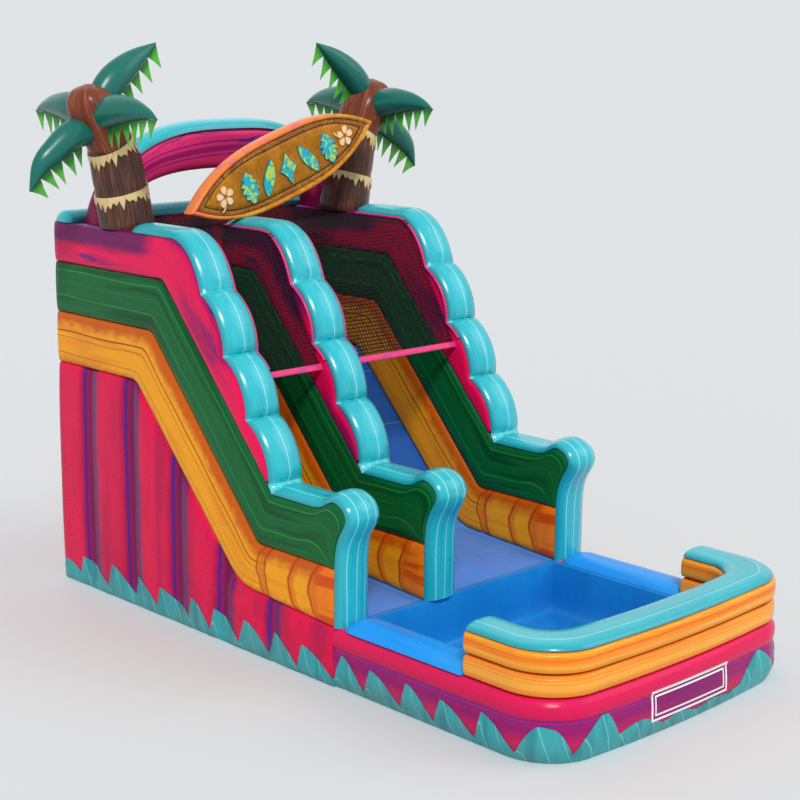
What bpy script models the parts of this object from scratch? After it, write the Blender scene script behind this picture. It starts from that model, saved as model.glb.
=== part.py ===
"""Inflatable water slide: a climbing lane and a slide lane between three walls, a pool, two palms and a sign.

Metres, +Z up. The front, where the pool is, faces -Y. +X is to the right of someone who looks at the front.
Side profiles are drawn as (depth, height): depth runs forward from the tower's back face.
"""

import math

import bmesh
import bpy
from mathutils import Matrix, Vector

# Fit
gap = 0.0003  # between pieces that touch
overrun = 0.05  # how far a cutter passes the face that it cuts
film = 0.03  # thickness of a hollow chamber's wall
shortest_run = 0.01  # two corners of an outline are never closer than this

# Tower plan
wall_width = 0.38
climb_lane = 0.675
slide_lane = 1.365
tower_depth = 4.055  # from the back face to the front of the wall posts
rear_thickness = 0.275
deck_depth = 1.27

# Tower heights
runout_height = 0.52
deck_height = 2.22
orange_band = 0.50
green_band = 0.49
pink_band = 0.39
wall_top = deck_height + orange_band + green_band + pink_band
arm_height = 1.52

# Corners of the bands on the wall's side
bed_foot_depth = 2.79
bed_foot_height = 0.60
orange_knee_depth = 1.54
orange_foot_depth = 3.05
orange_front_height = 1.035
green_knee_depth = 1.722
knee_radius = 0.15
foot_radius = 0.45
band_radius = 0.10
arc_steps = 4
band_puff = 0.012  # rounding along the edges of a sewn chamber

# Cap along the wall's edge
cap_crown = 0.08
cap_selvedge = 0.008  # thickness at the cap's own edges
cap_columns = 5
slope_top_depth = 2.03
slope_foot_depth = 3.25
scallop_length = 0.597
scallop_bulge = 0.085
scallop_foot = 0.085  # plain length of cap below the last valley
scallop_steps = 5
valley_share = 0.55  # crown left in a valley
shoulder_run = 0.13  # how far before the corner the first scallop starts
shoulder_steps = 5
arm_end_depth = 3.79
scroll_rise = 0.09
scroll_reach = 0.128
# The scroll's points: shares of the run to the post and of the rise, then of the reach and of the drop
scroll_rise_shares = [(0.37, 0.21), (0.68, 0.72), (0.97, 1.0)]
scroll_drop_shares = [(0.62, -0.12), (1.0, 0.0), (1.0, 0.14), (0.4, 0.42), (0.1, 0.68)]
side_cap_start = 1.19
middle_cap_start = 1.31
cap_end_run = 0.14  # how far the cap takes to reach its full crown
cap_end_share = 0.3  # of its crown, at its very end

# Beds and webs
bed_thickness = 0.20
step_radius = 0.07
step_count = 5
step_sides = 12
step_first_share = 0.12
step_last_share = 0.90
web_thickness = 0.04
slide_web_depths = {"slide_baffle_upper": 1.75, "slide_baffle_lower": 2.35}
climb_web_depth = 2.05
flank_film = 0.05

# Pool
pool_front_depth = 6.50
pool_bow = 0.045  # how far the middle of the front stands proud of its ends
pool_corner_radius = 0.50
rim_width = 0.40
rim_film = 0.05
base_tuck = 0.035  # how far the pool's wall draws in where it meets the ground
base_tuck_height = 0.12
liner_film = 0.04
liner_floor = 0.05
corner_steps = 6
front_steps = 4
coping_crown = 0.08
bumper_start_depth = 5.54
bumper_tube_height = 0.19
bumper_cap_crown = 0.055
tube_puff = 0.045
puff_side_share = 0.3
puff_rise_share = 0.6

# Rear top tube and arch
rear_tube_crown = 0.11
arch_back_depth = 0.285
arch_depth = 0.27
arch_lean = math.radians(14.0)
arch_centre_drop = 0.40  # below the wall top
arch_outer_span = 1.475
arch_outer_rise = 1.37
arch_leg_width = 0.19
arch_crest_height = 0.47
arch_outer_power = 2.9
arch_inner_power = 3.1
arch_cap_thickness = 0.05
arch_cap_foot = 0.42  # the cap ends this far above the wall top
arch_steps = 20

# Palms
palm_inset = 0.23  # from the wall's outer face to the trunk's centre
palm_depth = 0.90
trunk_height = 0.70
trunk_radius = 0.265
trunk_top_radius = 0.24
trunk_lean = 0.13
palm_sides = 12
crown_lean = 0.38
crown_top = 1.33  # above the wall top
crown_radius = 0.265
crown_shares = [  # of the crown's height, of its lean, of its radius
    (0.0, 0.0, 0.88),
    (0.3, 0.42, 0.93),
    (0.55, 0.72, 1.0),
    (0.75, 0.9, 0.9),
    (0.91, 1.0, 0.62),
    (1.0, 1.0, 0.12),
]
frond_length = 0.95
frond_half_depth = 0.15
frond_half_width = 0.135
frond_sides = 8
frond_underside_share = 0.85
frond_root_height = 0.98  # above the wall top
frond_root_lean_share = 0.9

# Each frond's line and fullness, as shares of its length outwards and upwards and of its half depth
frond_level_shares = [
    (0.02, 0.0, 0.95),
    (0.21, 0.085, 1.05),
    (0.405, 0.126, 1.0),
    (0.66, 0.137, 0.72),
    (0.87, 0.116, 0.36),
    (1.02, 0.068, 0.05),
]
frond_droop_shares = [
    (0.05, -0.08, 0.95),
    (0.24, -0.115, 1.0),
    (0.44, -0.247, 0.87),
    (0.61, -0.39, 0.62),
    (0.74, -0.62, 0.05),
]
frond_raised_shares = [
    (0.05, 0.17, 0.95),
    (0.19, 0.347, 1.05),
    (0.334, 0.474, 0.97),
    (0.526, 0.61, 0.65),
    (0.744, 0.75, 0.05),
]

# Sign
sign_length = 2.43
sign_height = 0.675
sign_fullness = 2.8  # power of the outline's curve: 2 is a plain arc, more is blunter at the tips
sign_depth = 1.38
sign_thickness = 0.10
sign_rim = 0.055
sign_rim_proud = 0.02
sign_tilt = math.radians(18.9)
sign_centre_offset = 0.08  # from the slide's middle plane, to the right
sign_seat_depth = 0.004  # how deep the sign settles into the middle cap
sign_steps = 14

# Nets
net_thickness = 0.012
net_strand = 0.016
roof_net_cells = (10, 4)
climb_net_cells = (3, 9)
slide_net_cells = (6, 9)
net_hem = 0.07
net_foot_height = 2.40

# Fittings on the back and the right side
sleeve_length = 0.35
sleeve_radius = 0.16
sleeve_film = 0.012
sleeve_offset = 0.75  # from the middle plane, to the right
sleeve_height = 0.36
sleeve_sides = 20
zip_offset = -0.55
zip_height = 0.42
zip_length = 0.56
zip_tape_width = 0.05
zip_tape_thickness = 0.004
slider_size = (0.034, 0.011, 0.024)
flap_overlap = 0.03
flap_drop = 0.16
flap_thickness = 0.004
flap_hem_radius = 0.012
flap_hem_sides = 16
anchor_height = 0.20
anchor_inset = 0.20
side_anchor_depth = 3.2
tab_width = 0.06
tab_height = 0.10
tab_thickness = 0.006
ring_wire_radius = 0.004
ring_half_width = 0.036
ring_drop = 0.055
ring_corner_steps = 8
loop_radius = tab_thickness
loop_bore_radius = 0.0046
loop_length = 0.044
loop_sides = 16

# Places worked out from the sizes above
half_width = (3 * wall_width + climb_lane + slide_lane) / 2
left_outer = -half_width
left_inner = left_outer + wall_width
middle_left = left_inner + climb_lane
middle_right = middle_left + wall_width
right_inner = middle_right + slide_lane
right_outer = right_inner + wall_width
middle_x = (middle_left + middle_right) / 2
front_bow_depth = pool_front_depth + pool_bow
middle_depth = (front_bow_depth - sleeve_length) / 2  # depth of the frame's origin

slide = bpy.data.collections.new("water_slide")
cutters = bpy.data.collections.new("cutters")


def clear_scene():
    for obj in list(bpy.data.objects):
        bpy.data.objects.remove(obj, do_unlink=True)
    bpy.context.scene.collection.children.link(slide)
    bpy.context.scene.collection.children.link(cutters)


def vinyl(name, colour, roughness=0.32, metallic=0.0):
    material = bpy.data.materials.new(name)
    material.use_nodes = True
    shader = material.node_tree.nodes["Principled BSDF"]
    shader.inputs["Base Color"].default_value = (*colour, 1.0)
    shader.inputs["Roughness"].default_value = roughness
    shader.inputs["Metallic"].default_value = metallic
    material.diffuse_color = (*colour, 1.0)
    return material


def y_at(depth):
    return middle_depth - depth


def at(x, depth, height):
    return Vector((x, y_at(depth), height))


# Making and cutting solids


def add_object(name, data, material=None, is_cutter=False):
    obj = bpy.data.objects.new(name, data)
    (cutters if is_cutter else slide).objects.link(obj)
    if is_cutter:
        obj.hide_render = True
        obj.display_type = "WIRE"
    elif material:
        data.materials.append(material)
    return obj


def meshed(obj):
    """The object's evaluated mesh as a new mesh object in the same place, with its caps welded."""
    bpy.context.view_layer.update()
    evaluated = obj.evaluated_get(bpy.context.evaluated_depsgraph_get())
    mesh = bpy.data.meshes.new_from_object(evaluated)
    body = bmesh.new()
    body.from_mesh(mesh)
    bmesh.ops.remove_doubles(body, verts=body.verts, dist=gap / 6)
    bmesh.ops.recalc_face_normals(body, faces=body.faces)
    body.to_mesh(mesh)
    body.free()
    name = obj.name
    matrix = obj.matrix_world.copy()
    collection = obj.users_collection[0]
    hidden = obj.hide_render
    bpy.data.objects.remove(obj, do_unlink=True)
    solid = bpy.data.objects.new(name, mesh)
    collection.objects.link(solid)
    solid.matrix_world = matrix
    solid.hide_render = hidden
    if hidden:
        solid.display_type = "WIRE"
    return solid


def flat_solid(name, outline, thickness, material, is_cutter=False):
    """A flat outline in the object's own XY plane, given a thickness about that plane."""
    curve = bpy.data.curves.new(name, "CURVE")
    curve.dimensions = "2D"
    curve.fill_mode = "BOTH"
    curve.extrude = thickness / 2
    spline = curve.splines.new("POLY")
    spline.points.add(len(outline) - 1)
    for point, (u, v) in zip(spline.points, outline):
        point.co = (u, v, 0.0, 1.0)
    spline.use_cyclic_u = True
    return add_object(name, curve, material, is_cutter)


def side_prism(name, outline, x_low, x_high, material=None, is_cutter=False):
    """A (depth, height) outline carried across from x_low to x_high."""
    obj = flat_solid(name, [(y_at(d), z) for d, z in outline], x_high - x_low, material, is_cutter)
    obj.rotation_euler = (math.pi / 2, 0.0, math.pi / 2)
    obj.location = ((x_low + x_high) / 2, 0.0, 0.0)
    return meshed(obj)


def plan_prism(name, outline, z_low, z_high, material=None, is_cutter=False):
    """An (x, depth) outline carried up from z_low to z_high."""
    obj = flat_solid(name, [(x, y_at(d)) for x, d in outline], z_high - z_low, material, is_cutter)
    obj.location = (0.0, 0.0, (z_low + z_high) / 2)
    return meshed(obj)


def box(name, low, high, material=None, is_cutter=False):
    """A box between two (x, depth, height) corners."""
    mesh = bpy.data.meshes.new(name)
    body = bmesh.new()
    bmesh.ops.create_cube(body, size=1.0)
    size = [abs(high[i] - low[i]) for i in range(3)]
    centre = at(*[(low[i] + high[i]) / 2 for i in range(3)])
    bmesh.ops.scale(body, vec=size, verts=body.verts)
    bmesh.ops.translate(body, vec=centre, verts=body.verts)
    body.to_mesh(mesh)
    body.free()
    return add_object(name, mesh, material, is_cutter)


def drum(name, centre, axis, radius, length, sides, material=None, is_cutter=False):
    """A round bar about an axis through a world point."""
    mesh = bpy.data.meshes.new(name)
    body = bmesh.new()
    bmesh.ops.create_cone(
        body, cap_ends=True, segments=sides, radius1=radius, radius2=radius, depth=length
    )
    turn = Vector((0, 0, 1)).rotation_difference(Vector(axis)).to_matrix().to_4x4()
    bmesh.ops.transform(body, matrix=Matrix.Translation(centre) @ turn, verts=body.verts)
    body.to_mesh(mesh)
    body.free()
    return add_object(name, mesh, material, is_cutter)


def loft(name, rings, material=None, is_cutter=False):
    """A closed body through rings of equal count, with flat ends: for sections that change along the way."""
    mesh = bpy.data.meshes.new(name)
    body = bmesh.new()
    rows = [[body.verts.new(point) for point in ring] for ring in rings]
    count = len(rows[0])
    for low, high in zip(rows, rows[1:]):
        for i in range(count):
            j = (i + 1) % count
            body.faces.new((low[i], low[j], high[j], high[i]))
    body.faces.new(rows[0][::-1])
    body.faces.new(rows[-1])
    bmesh.ops.recalc_face_normals(body, faces=body.faces)
    body.to_mesh(mesh)
    body.free()
    return add_object(name, mesh, material, is_cutter)


def combine(obj, other, operation):
    modifier = obj.modifiers.new(operation.lower(), "BOOLEAN")
    modifier.operation = operation
    modifier.object = other
    modifier.solver = "EXACT"
    return obj


def cut(obj, cutter):
    return combine(obj, cutter, "DIFFERENCE")


def soften(obj, width, segments=1, angle=math.radians(60)):
    """Rounds the sharp edges of a chamber, as air pressure does."""
    modifier = obj.modifiers.new("soften", "BEVEL")
    modifier.width = width
    modifier.segments = segments
    modifier.limit_method = "ANGLE"
    modifier.angle_limit = angle
    return obj


# Outlines


def fillet(corners, radii, steps=arc_steps):
    """An open line with its inner corners turned by arcs; a radius is limited by the runs beside it."""
    line = [Vector(corners[0])]
    for before, corner, after, radius in zip(corners, corners[1:], corners[2:], radii):
        corner = Vector(corner)
        back = Vector(before) - corner
        ahead = Vector(after) - corner
        half = back.angle(ahead) / 2
        tangent = min(radius / math.tan(half), back.length / 2, ahead.length / 2)
        radius = tangent * math.tan(half)
        back.normalize()
        ahead.normalize()
        centre = corner + (back + ahead).normalized() * (radius / math.sin(half))
        start = corner + back * tangent - centre
        end = corner + ahead * tangent - centre
        sweep = start.angle_signed(end)
        for step in range(steps + 1):
            line.append(centre + Matrix.Rotation(-sweep * step / steps, 2) @ start)
    line.append(Vector(corners[-1]))
    return [tuple(point) for point in line]


def offset(line, distance, closed=False):
    """The line moved sideways, to its left when distance is positive, with mitred corners."""
    points = [Vector(point) for point in line]
    count = len(points)
    moved = []
    for i, point in enumerate(points):
        normals = []
        for a, b in ((i - 1, i), (i, i + 1)):
            if closed or 0 <= a and b < count:
                run = points[b % count] - points[a % count]
                if run.length > gap / 10:
                    normals.append(Vector((-run.y, run.x)).normalized())
        normal = sum(normals, Vector((0.0, 0.0))).normalized()
        moved.append(tuple(point + normal * (distance / normal.dot(normals[0]))))
    return moved


def area(outline):
    pairs = zip(outline, outline[1:] + outline[:1])
    return sum(a[0] * b[1] - b[0] * a[1] for a, b in pairs) / 2


def inset(outline, distance=gap / 2):
    """A closed outline drawn in by a distance all round."""
    return offset(outline, distance if area(outline) > 0 else -distance, closed=True)


def clip_behind(line, depth):
    """The part of a (depth, height) line from this depth forward, with no corner too close to the clip."""
    if line[0][0] >= depth:
        return list(line)
    kept = []
    for a, b in zip(line, line[1:]):
        if a[0] < depth <= b[0]:
            share = (depth - a[0]) / (b[0] - a[0])
            kept.append((depth, a[1] + share * (b[1] - a[1])))
        if b[0] > depth + shortest_run:
            kept.append(b)
    return kept


def height_at(line, depth):
    return clip_behind(line, depth)[0][1]


def bed_line(back_depth):
    """The beds' upper surface and the orange bands' lower edge, from a depth behind or at the deck's edge."""
    slope = [(deck_depth, deck_height), (bed_foot_depth, bed_foot_height), (tower_depth, runout_height)]
    if back_depth < deck_depth:
        return fillet([(back_depth, deck_height), *slope], [knee_radius, foot_radius])
    return fillet(slope, [foot_radius])


def orange_line():
    back_height = deck_height + orange_band
    corners = [
        (0.0, back_height),
        (orange_knee_depth, back_height),
        (orange_foot_depth, orange_front_height),
        (tower_depth, orange_front_height),
    ]
    return fillet(corners, [band_radius, band_radius])


def green_line():
    back_height = deck_height + orange_band + green_band
    corners = [(0.0, back_height), (green_knee_depth, back_height), (slope_foot_depth, arm_height)]
    return fillet(corners, [band_radius])


def shoulder(start, corner, end):
    """The first scallop's outline, bent over the corner of the wall top."""
    points = []
    for step in range(1, shoulder_steps):
        t = step / shoulder_steps
        point = (1 - t) ** 2 * start + 2 * t * (1 - t) * corner + t**2 * end
        points.append(tuple(point))
    return points


def scallop(start, end, steps=scallop_steps):
    """An arc from valley to valley that stands proud of their chord."""
    chord = end - start
    normal = Vector((-chord.y, chord.x)).normalized()
    if normal.x < 0:
        normal = -normal
    radius = (chord.length**2 / 4 + scallop_bulge**2) / (2 * scallop_bulge)
    half = math.asin(chord.length / (2 * radius))
    centre = (start + end) / 2 + normal * (scallop_bulge - radius)
    points = []
    for step in range(1, steps):
        angle = half * (2 * step / steps - 1)
        along = chord.normalized() * math.sin(angle)
        points.append(tuple(centre + (along + normal * math.cos(angle)) * radius))
    return points


def cap_path(start_depth):
    """The wall's edge: from the back down the scallops, along the arm, round the scroll and down the post.

    Returns the points, and which of them are the valleys and the slope's foot.
    """
    top = Vector((slope_top_depth, wall_top))
    foot = Vector((slope_foot_depth, arm_height))
    run = (foot - top).normalized()
    length = (foot - top).length
    count = max(1, round((length - scallop_foot) / scallop_length) - 1)
    last = length - scallop_foot
    valleys = [top + run * (last - scallop_length * (count - i)) for i in range(count + 1)]
    start = Vector((slope_top_depth - shoulder_run, wall_top))
    corner = top + Vector((shoulder_run, -scallop_bulge / 2))
    points = [(start_depth, wall_top), tuple(start), *shoulder(start, corner, valleys[0])]
    creases = []
    for first, second in zip(valleys, valleys[1:]):
        creases.append(len(points))
        points.append(tuple(first))
        points.extend(scallop(first, second))
    creases.append(len(points))
    points.append(tuple(valleys[-1]))
    foot_index = len(points)
    points += [(slope_foot_depth, arm_height), (arm_end_depth, arm_height)]
    run_to_post = tower_depth - arm_end_depth
    for along, up in scroll_rise_shares:
        points.append((arm_end_depth + along * run_to_post, arm_height + up * scroll_rise))
    scroll_drop = arm_height - orange_front_height
    for along, down in scroll_drop_shares:
        height = arm_height - down * scroll_drop
        points.append((tower_depth + along * scroll_reach, height))
    points.append((tower_depth, orange_front_height))
    points.append((tower_depth, runout_height + gap))
    return points, creases, foot_index


def path_from(points, creases, depth):
    """A cap path from this depth on, with one more point where the cap reaches its crown."""
    level = points[0][1]
    return [(depth, level), (depth + cap_end_run, level), *points[1:]], [i + 1 for i in creases]


# Walls, flanks and beds


def hollow(name, solid, outline, x_low, x_high, vent, skin=film):
    """Empties a chamber, and opens it to the one below through the air vent between them."""
    core = side_prism(name + "_core", inset(outline, skin), x_low + skin, x_high - skin, is_cutter=True)
    low, high = vent
    middle = (x_low + x_high) / 2
    half = (x_high - x_low) / 4
    opening = box(
        name + "_vent",
        (middle - half, low[0], low[1] - overrun),
        (middle + half, high[0], high[1] + skin + overrun),
        is_cutter=True,
    )
    cut(solid, core)
    cut(solid, opening)


def wall(side, x_low, x_high, back_depth, cap_start, materials):
    """One wall of the tower: orange, green and pink chambers, each on the last, and a teal cap."""
    path, creases, foot = cap_path(back_depth)
    bed = bed_line(back_depth)
    orange = clip_behind(orange_line(), back_depth)
    green = clip_behind(green_line(), back_depth)

    orange_outline = [*bed, *reversed(orange)]
    scroll = [point for point in path[foot + 1 :] if point[1] > orange_front_height + gap]
    green_outline = [*orange, *reversed(scroll), *reversed(green)]
    pink_outline = [*green, *reversed(path[:foot])]

    vent_low = back_depth + 2 * film
    vent_high = vent_low + 4 * film
    heights = {"orange": deck_height, "green": deck_height + orange_band}
    heights["pink"] = heights["green"] + green_band
    outlines = {"orange": orange_outline, "green": green_outline, "pink": pink_outline}
    for colour, outline in outlines.items():
        name = f"{side}_wall_{colour}"
        solid = side_prism(name, inset(outline), x_low + gap / 2, x_high - gap / 2)
        solid.data.materials.append(materials[colour])
        base = heights[colour]
        core = outline
        if colour == "pink":
            core = [
                (back_depth, base),
                (green_knee_depth, base),
                (slope_top_depth - shoulder_run, wall_top),
                (back_depth, wall_top),
            ]
        else:
            soften(solid, band_puff)
        if colour == "orange":
            base = height_at(bed, vent_high)
        hollow(name, solid, core, x_low, x_high, ((vent_low, base - film), (vent_high, base + film)))

    edge, folds = path_from(path, creases, cap_start)
    cap(f"{side}_wall_cap", edge, folds, x_low + gap / 2, x_high - gap / 2, materials["teal"])


def cap(name, path, creases, x_low, x_high, material, crown=cap_crown, is_cutter=False, clearance=gap / 2):
    """A band along a wall's edge, crowned across its width and pinched in the valleys."""
    seat = offset(path, clearance)
    top = offset(path, clearance + crown)
    rings = []
    for i, (low, high) in enumerate(zip(seat, top)):
        share = valley_share if i in creases else 1.0
        if i == 0 and not is_cutter:
            share *= cap_end_share
        low = Vector(low)
        rise = (Vector(high) - low) * share
        edge = rise.normalized() * cap_selvedge
        ring = [at(x_high, *low), at(x_low, *low)]
        for column in range(cap_columns):
            u = column / (cap_columns - 1)
            bulge = 1 - (2 * u - 1) ** 2
            point = low + edge + (rise - edge) * bulge
            ring.append(at(x_low + u * (x_high - x_low), *point))
        rings.append(ring)
    return loft(name, rings, material, is_cutter)


def open_underneath(obj, name, outline, x_low, x_high, skin=flank_film):
    """Empties a chamber from below, where the ground closes it."""
    core = inset(outline, skin)
    lowest = min(z for d, z in core)
    core = [(d, -overrun if z < lowest + skin / 2 else z) for d, z in core]
    cutter = side_prism(name + "_core", core, x_low + skin, x_high - skin, is_cutter=True)
    return cut(obj, cutter)


def flank(name, x_low, x_high, back_depth, material):
    """The chamber below a wall's bands, from the ground up to the bed's line."""
    outline = [(back_depth, 0.0), (tower_depth, 0.0), *reversed(bed_line(back_depth))]
    fitted = inset(outline)
    fitted = [(d, z if z > gap else 0.0) for d, z in fitted]
    solid = side_prism(name, fitted, x_low + gap / 2, x_high - gap / 2)
    solid.data.materials.append(material)
    soften(solid, band_puff)
    return open_underneath(solid, name, outline, x_low, x_high)


def bed_underside():
    """The line under a bed, which runs level with the bed's slope at its thickness."""
    corners = [(deck_depth, deck_height), (bed_foot_depth, bed_foot_height), (tower_depth, runout_height)]
    under = offset(corners, -bed_thickness)
    top, foot = Vector(under[0]), Vector(under[1])
    share = (deck_depth - top.x) / (foot.x - top.x)
    return [tuple(top.lerp(foot, share)), tuple(foot), (tower_depth, runout_height - bed_thickness)]


def bed_outline():
    """The side of a bed, from the deck's edge down the slope to the pool."""
    return [*bed_underside(), *reversed(bed_line(deck_depth))]


def bed(name, x_low, x_high, material):
    solid = side_prism(name, inset(bed_outline()), x_low + gap / 2, x_high - gap / 2)
    solid.data.materials.append(material)
    return solid


def steps_on(bed_object, x_low, x_high):
    """Round steps sewn across the climbing bed."""
    top = Vector((deck_depth, deck_height))
    foot = Vector((bed_foot_depth, bed_foot_height))
    for i in range(step_count):
        share = step_first_share + (step_last_share - step_first_share) * i / (step_count - 1)
        place = top.lerp(foot, share)
        step = drum(
            f"climb_step_{i + 1}",
            at((x_low + x_high) / 2, *place),
            (1, 0, 0),
            step_radius,
            x_high - x_low - gap,
            step_sides,
            is_cutter=True,
        )
        combine(bed_object, step, "UNION")


def web(name, depth, x_low, x_high, material):
    """An upright baffle across a lane, from the ground to the bed's underside."""
    under = bed_underside()
    outline = [
        (depth, 0.0),
        (depth + web_thickness, 0.0),
        (depth + web_thickness, height_at(under, depth + web_thickness) - gap),
        (depth, height_at(under, depth) - gap),
    ]
    solid = side_prism(name, outline, x_low + gap, x_high - gap)
    solid.data.materials.append(material)
    return solid


# Pool


def pool_line(inward):
    """Half the pool's plan outline, from the front's middle to the right side, drawn in by a distance."""
    side = half_width - inward
    front = pool_front_depth - inward
    radius = pool_corner_radius - inward * pool_corner_radius / (pool_corner_radius + rim_width)
    points = []
    for step in range(front_steps):
        u = step / front_steps
        points.append((u * (side - radius), front + pool_bow * (1 - u * u)))
    for step in range(corner_steps + 1):
        turn = math.pi / 2 * step / corner_steps
        points.append((side - radius + radius * math.sin(turn), front - radius + radius * math.cos(turn)))
    return points


def pool_run(inward, start_depth):
    """A line round the pool from the left side's start, round the front, to the right side's start."""
    half = pool_line(inward)
    left = [(-x, d) for x, d in reversed(half[1:])]
    side = half[-1][0]
    return [(-side, start_depth), *left, *half, (side, start_depth)]


def ribbon(name, start_depth, rings_at, material):
    """A band round the pool: rings_at gives (inward, height) corners of its section."""
    lines = [pool_run(inward, start_depth) for inward, height in rings_at]
    heights = [height for inward, height in rings_at]
    rings = []
    for i in range(len(lines[0])):
        rings.append([at(*line[i], height) for line, height in zip(lines, heights)])
    return loft(name, rings, material)


def puffed_section(low, high, puff):
    """A tube's section between two heights, round at its corners and full at its sides."""
    side = puff * puff_side_share
    rise = puff * puff_rise_share
    outer = [(puff, low), (side, low + rise), (0.0, (low + high) / 2), (side, high - rise), (puff, high)]
    inner = [(rim_width - inward, height) for inward, height in reversed(outer)]
    return [*outer, *inner]


def pool(materials):
    start = tower_depth + gap
    wall_section = [
        (base_tuck, 0.0),
        (0.0, base_tuck_height),
        (0.0, runout_height - band_puff),
        (band_puff, runout_height),
        (rim_width, runout_height),
        (rim_width, 0.0),
        (rim_width - rim_film, 0.0),
        (rim_width - rim_film, runout_height - rim_film),
        (rim_film, runout_height - rim_film),
        (rim_film, base_tuck_height),
        (rim_film + base_tuck, 0.0),
    ]
    ribbon("pool_wall", start, wall_section, materials["pink"])

    tray = pool_run(rim_width + gap, start)
    basin = pool_run(rim_width + gap + liner_film, start + liner_film)
    liner = plan_prism("pool_liner", tray, 0.0, runout_height - gap)
    liner.data.materials.append(materials["pool"])
    cut(liner, plan_prism("pool_basin", basin, liner_floor, runout_height + overrun, is_cutter=True))

    base = runout_height + gap
    coping_start = tower_depth + cap_crown + 2 * gap
    for side, toward in (("left", -1), ("right", 1)):
        outer = toward * half_width
        inner = toward * (half_width - rim_width)
        rings = []
        for depth in (coping_start, bumper_start_depth - gap):
            ring = [at(inner, depth, base), at(outer, depth, base)]
            for column in range(cap_columns):
                u = column / (cap_columns - 1)
                height = base + cap_selvedge + (coping_crown - cap_selvedge) * (1 - (2 * u - 1) ** 2)
                ring.append(at(outer + (inner - outer) * u, depth, height))
            rings.append(ring)
        loft(f"coping_{side}", rings, materials["coping"])

    middle = base + bumper_tube_height
    top = middle + bumper_tube_height
    lower = puffed_section(base, middle - gap, tube_puff)
    upper = puffed_section(middle, top - gap, tube_puff)
    ribbon("bumper_lower", bumper_start_depth, lower, materials["orange"])
    ribbon("bumper_upper", bumper_start_depth, upper, materials["orange"])
    crown = []
    for column in range(cap_columns):
        u = column / (cap_columns - 1)
        rise = cap_selvedge + (bumper_cap_crown - cap_selvedge) * (1 - (2 * u - 1) ** 2)
        crown.append((tube_puff + u * (rim_width - 2 * tube_puff), top + rise))
    cap_section = [(rim_width - tube_puff, top), (tube_puff, top), *crown]
    ribbon("bumper_cap", bumper_start_depth, cap_section, materials["teal"])


# Top of the tower


def rear_tube(material):
    rings = []
    base = wall_top + gap
    for x in (left_outer, right_outer):
        ring = [at(x, rear_thickness, base), at(x, 0.0, base)]
        for column in range(cap_columns):
            u = column / (cap_columns - 1)
            height = base + cap_selvedge + (rear_tube_crown - cap_selvedge) * (1 - (2 * u - 1) ** 2)
            ring.append(at(x, u * rear_thickness, height))
        rings.append(ring)
    loft("rear_top_tube", rings, material)


def arch_line(span, rise, power, steps=arch_steps):
    """A superellipse from foot to foot over the tower, in the arch's own plane."""
    points = []
    for step in range(steps + 1):
        angle = math.pi * step / steps
        across = math.copysign(abs(math.cos(angle)) ** (2 / power), math.cos(angle))
        up = abs(math.sin(angle)) ** (2 / power)
        points.append((span * across, rise * up))
    return points


def arch(name, outer, inner, foot, material=None, depth=arch_depth, is_cutter=False):
    """The band between two arch lines, leaning forward and cut level at a height above the wall tops."""
    solid = flat_solid(name, [*outer, *reversed(inner)], depth, None, is_cutter)
    stand = at(0.0, arch_back_depth + arch_depth / 2, wall_top)
    lean = Matrix.Rotation(math.pi / 2 + arch_lean, 4, "X")
    solid.matrix_world = Matrix.Translation(stand) @ lean @ Matrix.Translation((0.0, -arch_centre_drop, 0.0))
    solid = meshed(solid)
    if material:
        solid.data.materials.append(material)
    below = box(
        name + "_below",
        (-2 * half_width, -tower_depth, wall_top - 2 * arch_centre_drop),
        (2 * half_width, tower_depth, wall_top + foot),
        is_cutter=True,
    )
    return cut(solid, below)


def arches(materials):
    """The pink arch between the walls' rear ends, and the teal cap over its outer edge."""
    seam = arch_cap_thickness
    outer = arch_line(arch_outer_span, arch_outer_rise, arch_outer_power)
    under = arch_line(arch_outer_span - seam, arch_outer_rise - seam, arch_outer_power)
    clear = arch_line(arch_outer_span - seam - gap, arch_outer_rise - seam - gap, arch_outer_power)
    beyond = arch_line(arch_outer_span + overrun, arch_outer_rise + overrun, arch_outer_power)
    inner_span = arch_outer_span - arch_leg_width
    inner = arch_line(inner_span, arch_outer_rise - arch_crest_height, arch_inner_power)
    body = arch("arch", outer, inner, gap, materials["pink"])
    arch("arch_cap", outer, under, arch_cap_foot, materials["teal"])
    deep = arch_depth + overrun
    room = arch("arch_cap_room", beyond, clear, arch_cap_foot - gap, depth=deep, is_cutter=True)
    cut(body, room)


def level_ring(centre, radius):
    angles = [2 * math.pi * i / palm_sides for i in range(palm_sides)]
    return [centre + Vector((math.cos(a), math.sin(a), 0.0)) * radius for a in angles]


def crown_rings(start, end, grow):
    """A palm's crown, a dome that leans outwards from the trunk's top."""
    rings = []
    for up, lean, fullness in crown_shares:
        centre = Vector((start.x + (end.x - start.x) * lean, start.y, start.z + (end.z - start.z) * up))
        rings.append(level_ring(centre, crown_radius * fullness + grow))
    return rings


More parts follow.
